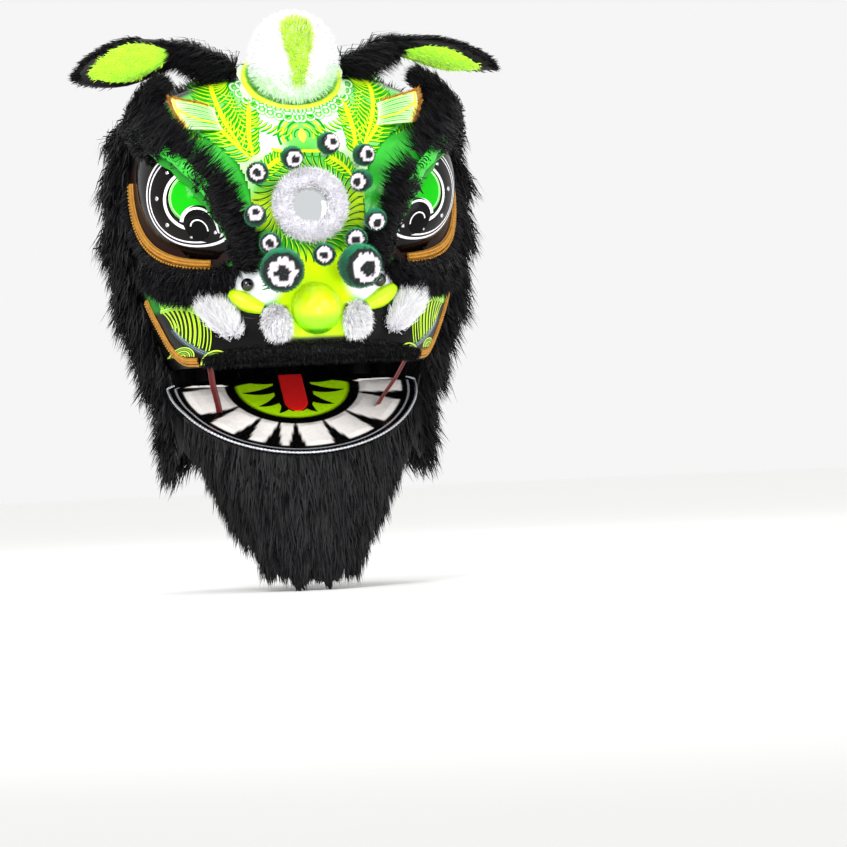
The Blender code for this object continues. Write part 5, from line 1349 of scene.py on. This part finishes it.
def build_strips():
    """Satin ribbons from the head to the jaw, the felt leaf and the finish of the hinge rod."""
    for side, label in ((-1, "left"), (1, "right")):
        verts = cad_mesh("ribbon_" + label)[0]
        low, high = verts[np.argmin(verts[:, 2])], verts[np.argmax(verts[:, 2])]
        ends = verts[verts[:, 2] > high[2] - 0.004]
        span = ends[np.argmax(ends[:, 0])] - ends[np.argmin(ends[:, 0])]
        across = unit(span) * RIBBON_WIDTH
        head_end = ends.mean(axis=0)
        foot = verts[verts[:, 2] < low[2] + 0.004].mean(axis=0)
        t = np.linspace(0, 1, 46)[:, None, None]
        s = np.linspace(-0.5, 0.5, 13)[None, :, None]
        line = head_end * (1 - t) + foot * t
        curl = unit(np.cross(across, foot - head_end))
        grid = line + across * s + curl * (0.0012 * np.cos(s * 6) + 0.0012 * np.sin(t * 9))
        back = grid - curl * 0.0008
        both = np.concatenate([grid, back[:, ::-1]], axis=1)
        made = new_mesh("ribbon_satin_" + label, both, [grid_faces(46, 26, True)], FINISHES["ribbon"], None,
                        ["ribbon_" + label], "ribbon")
        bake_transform(made)

    def leaf_colour(p):
        """Orange with pale ends."""
        end = np.abs(p[:, 2:] - p[:, 2].mean()) > 0.019
        return np.where(end, linear("#F2E9B0"), linear("#F0A818"))

    soft_copy("leaf_felt", "side_leaf", 0.0011, 3, "felt", "leaf", leaf_colour)
    dress("jaw_hinge_rod", "rod")


def build_stage():
    """Pale round floor, four soft lights and the camera."""
    scene = bpy.context.scene
    turn = np.linspace(0, 2 * math.pi, 96, endpoint=False)[None, :]
    reach = np.linspace(0, 14, 8)[:, None]
    floor = np.array(CAD_BOUNDS[0])[2] - 0.006
    grid = np.stack(np.broadcast_arrays(reach * np.cos(turn), reach * np.sin(turn), floor), axis=-1)
    mesh = bpy.data.meshes.new("studio_floor")
    mesh.from_pydata(grid.reshape(-1, 3).tolist(), [], grid_faces(8, 96, True).tolist())
    floor = bpy.data.objects.new("studio_floor", mesh)
    mesh.materials.append(FINISHES["floor"])
    scene.collection.objects.link(floor)
    for name, place, size, power in (("key_light", (-1.9, -2.8, 2.0), 1.6, 84.0),
                                     ("fill_light", (2.2, -3.0, 0.9), 2.4, 40.0),
                                     ("low_light", (0.2, -3.0, -0.35), 1.2, 44.0),
                                     ("rim_light", (0.6, 2.0, 2.6), 1.6, 30.0)):
        lamp = bpy.data.lights.new(name, "AREA")
        lamp.energy, lamp.size = power, size
        holder = bpy.data.objects.new(name, lamp)
        holder.location = place
        holder.rotation_euler = (Vector((0, 0, 0.15)) - Vector(place)).to_track_quat("-Z", "Y").to_euler()
        scene.collection.objects.link(holder)
    world = bpy.data.worlds.new("studio")
    world.use_nodes = True
    world.node_tree.nodes["Background"].inputs["Color"].default_value = (*settings().light_colour, 1.0)
    world.node_tree.nodes["Background"].inputs["Strength"].default_value = 0.92
    scene.world = world
    camera = bpy.data.cameras.new("photo_view")
    holder = bpy.data.objects.new("photo_view", camera)
    azimuth, roll = math.radians(-10), math.radians(2.5)
    back = Vector((math.sin(azimuth), -math.cos(azimuth), 0.0))
    right = Vector((math.cos(azimuth), math.sin(azimuth), 0.0))
    up = Vector((0.0, 0.0, 1.0))
    right, up = (right * math.cos(roll) - up * math.sin(roll)), (up * math.cos(roll) + right * math.sin(roll))
    middle_pixel = (423.5 - 297, 423.5 - 365)
    distance = 9.0
    centre = right * middle_pixel[0] * PIXEL - up * middle_pixel[1] * PIXEL
    turn = Matrix((right, up, back)).transposed().to_4x4()
    holder.matrix_world = Matrix.Translation(centre + back * distance) @ turn
    camera.lens, camera.sensor_width = 36 * distance / (847 * PIXEL), 36
    scene.collection.objects.link(holder)
    scene.camera = holder
    scene.view_settings.view_transform = "Standard"


class HeadSettings(bpy.types.PropertyGroup):
    """Settings of the lion dance head."""

    fur_share: FloatProperty(name="Fur", description="Share of the full count of hairs", default=0.44,
                             subtype="FACTOR", min=0.05, max=1.0)
    eye_studs: IntProperty(name="Studs", description="Studs in each eye's black band", default=5, min=2,
                           max=20)
    braid_width: FloatProperty(name="Braid width", description="Width of the gold braid", default=BRAID_WIDTH,
                               unit="LENGTH")
    light_colour: FloatVectorProperty(name="Light", description="Colour of the studio light",
                                      default=(1.0, 1.0, 1.0), subtype="COLOR", min=0.0, max=1.0)


def piece_operator(idname, label, text, work):
    """Operator class that runs one build function and fails if it cannot finish."""

    def execute(self, context):
        work()
        return {"FINISHED"}

    name = "LIONHEAD_OT_" + idname.split(".")[1]
    return type(name, (bpy.types.Operator,), {"bl_idname": idname, "bl_label": label, "__doc__": text,
                                              "execute": execute, "bl_options": {"REGISTER"}})


def build_eyes():
    """Both eyes with their lids, braid and studs."""
    for side, label in ((-1, "left"), (1, "right")):
        build_eye(side, label)


STEPS = (
    ("shell", "Shell", "Painted shell of the head", build_shell),
    ("face_lines", "Face lines", "Fronds, curls and ribs painted on the face", build_face_lines),
    ("eyes", "Eyes", "Eyes, lids, studs and eye braid", build_eyes),
    ("nose", "Nose", "Nose, wings and beads", build_nose),
    ("mirror", "Mirror", "Round mirror in its rim", build_mirror),
    ("pompoms", "Pompoms", "Velvet pompoms on springs", build_pompoms),
    ("dark_fur", "Dark fur", "Manes, brows, ears, lip and beard", build_dark_fur),
    ("white_fur", "White fur", "Horn, mirror ring, nostrils and lime plush", build_white_fur),
    ("horn_trim", "Horn trim", "Cord, petals and tufts of the horn", build_horn_trim),
    ("plates", "Plates", "Plates at the forehead's corners", build_plates),
    ("trims", "Trims", "Brow ribbons and cheek braid", build_brow_ribbons),
    ("jaw", "Jaw", "Jaw, teeth, tongue and cord", build_jaw),
    ("strips", "Ribbons", "Ribbons, leaf and hinge rod", build_strips),
    ("stage", "Stage", "Floor, lights and camera", build_stage),
)
OPERATORS = [piece_operator("lionhead." + key, label, text, work) for key, label, text, work in STEPS]


class LIONHEAD_PT_panel(bpy.types.Panel):
    """Sidebar panel that lists the head's pieces."""

    bl_label = "Lion dance head"
    bl_space_type = "VIEW_3D"
    bl_region_type = "UI"
    bl_category = "Lion head"

    def draw(self, context):
        """List the settings and one button for each step."""
        for key in ("fur_share", "eye_studs", "braid_width", "light_colour"):
            self.layout.prop(context.scene.lion_head, key)
        for made in OPERATORS:
            self.layout.operator(made.bl_idname)


CLASSES = (HeadSettings, *OPERATORS, LIONHEAD_PT_panel)


def register():
    """Register the settings, operators and panel."""
    for made in CLASSES:
        bpy.utils.register_class(made)
    bpy.types.Scene.lion_head = PointerProperty(type=HeadSettings)


def unregister():
    """Remove what register added."""
    del bpy.types.Scene.lion_head
    for made in reversed(CLASSES):
        bpy.utils.unregister_class(made)


def main():
    """Build every piece in order and write both boxes."""
    register()
    make_finishes()
    for made in OPERATORS:
        group, name = made.bl_idname.split(".")
        if getattr(getattr(bpy.ops, group), name)() != {"FINISHED"}:
            raise RuntimeError(made.bl_label + " could not be built")


if __name__ == "__main__":
    main()
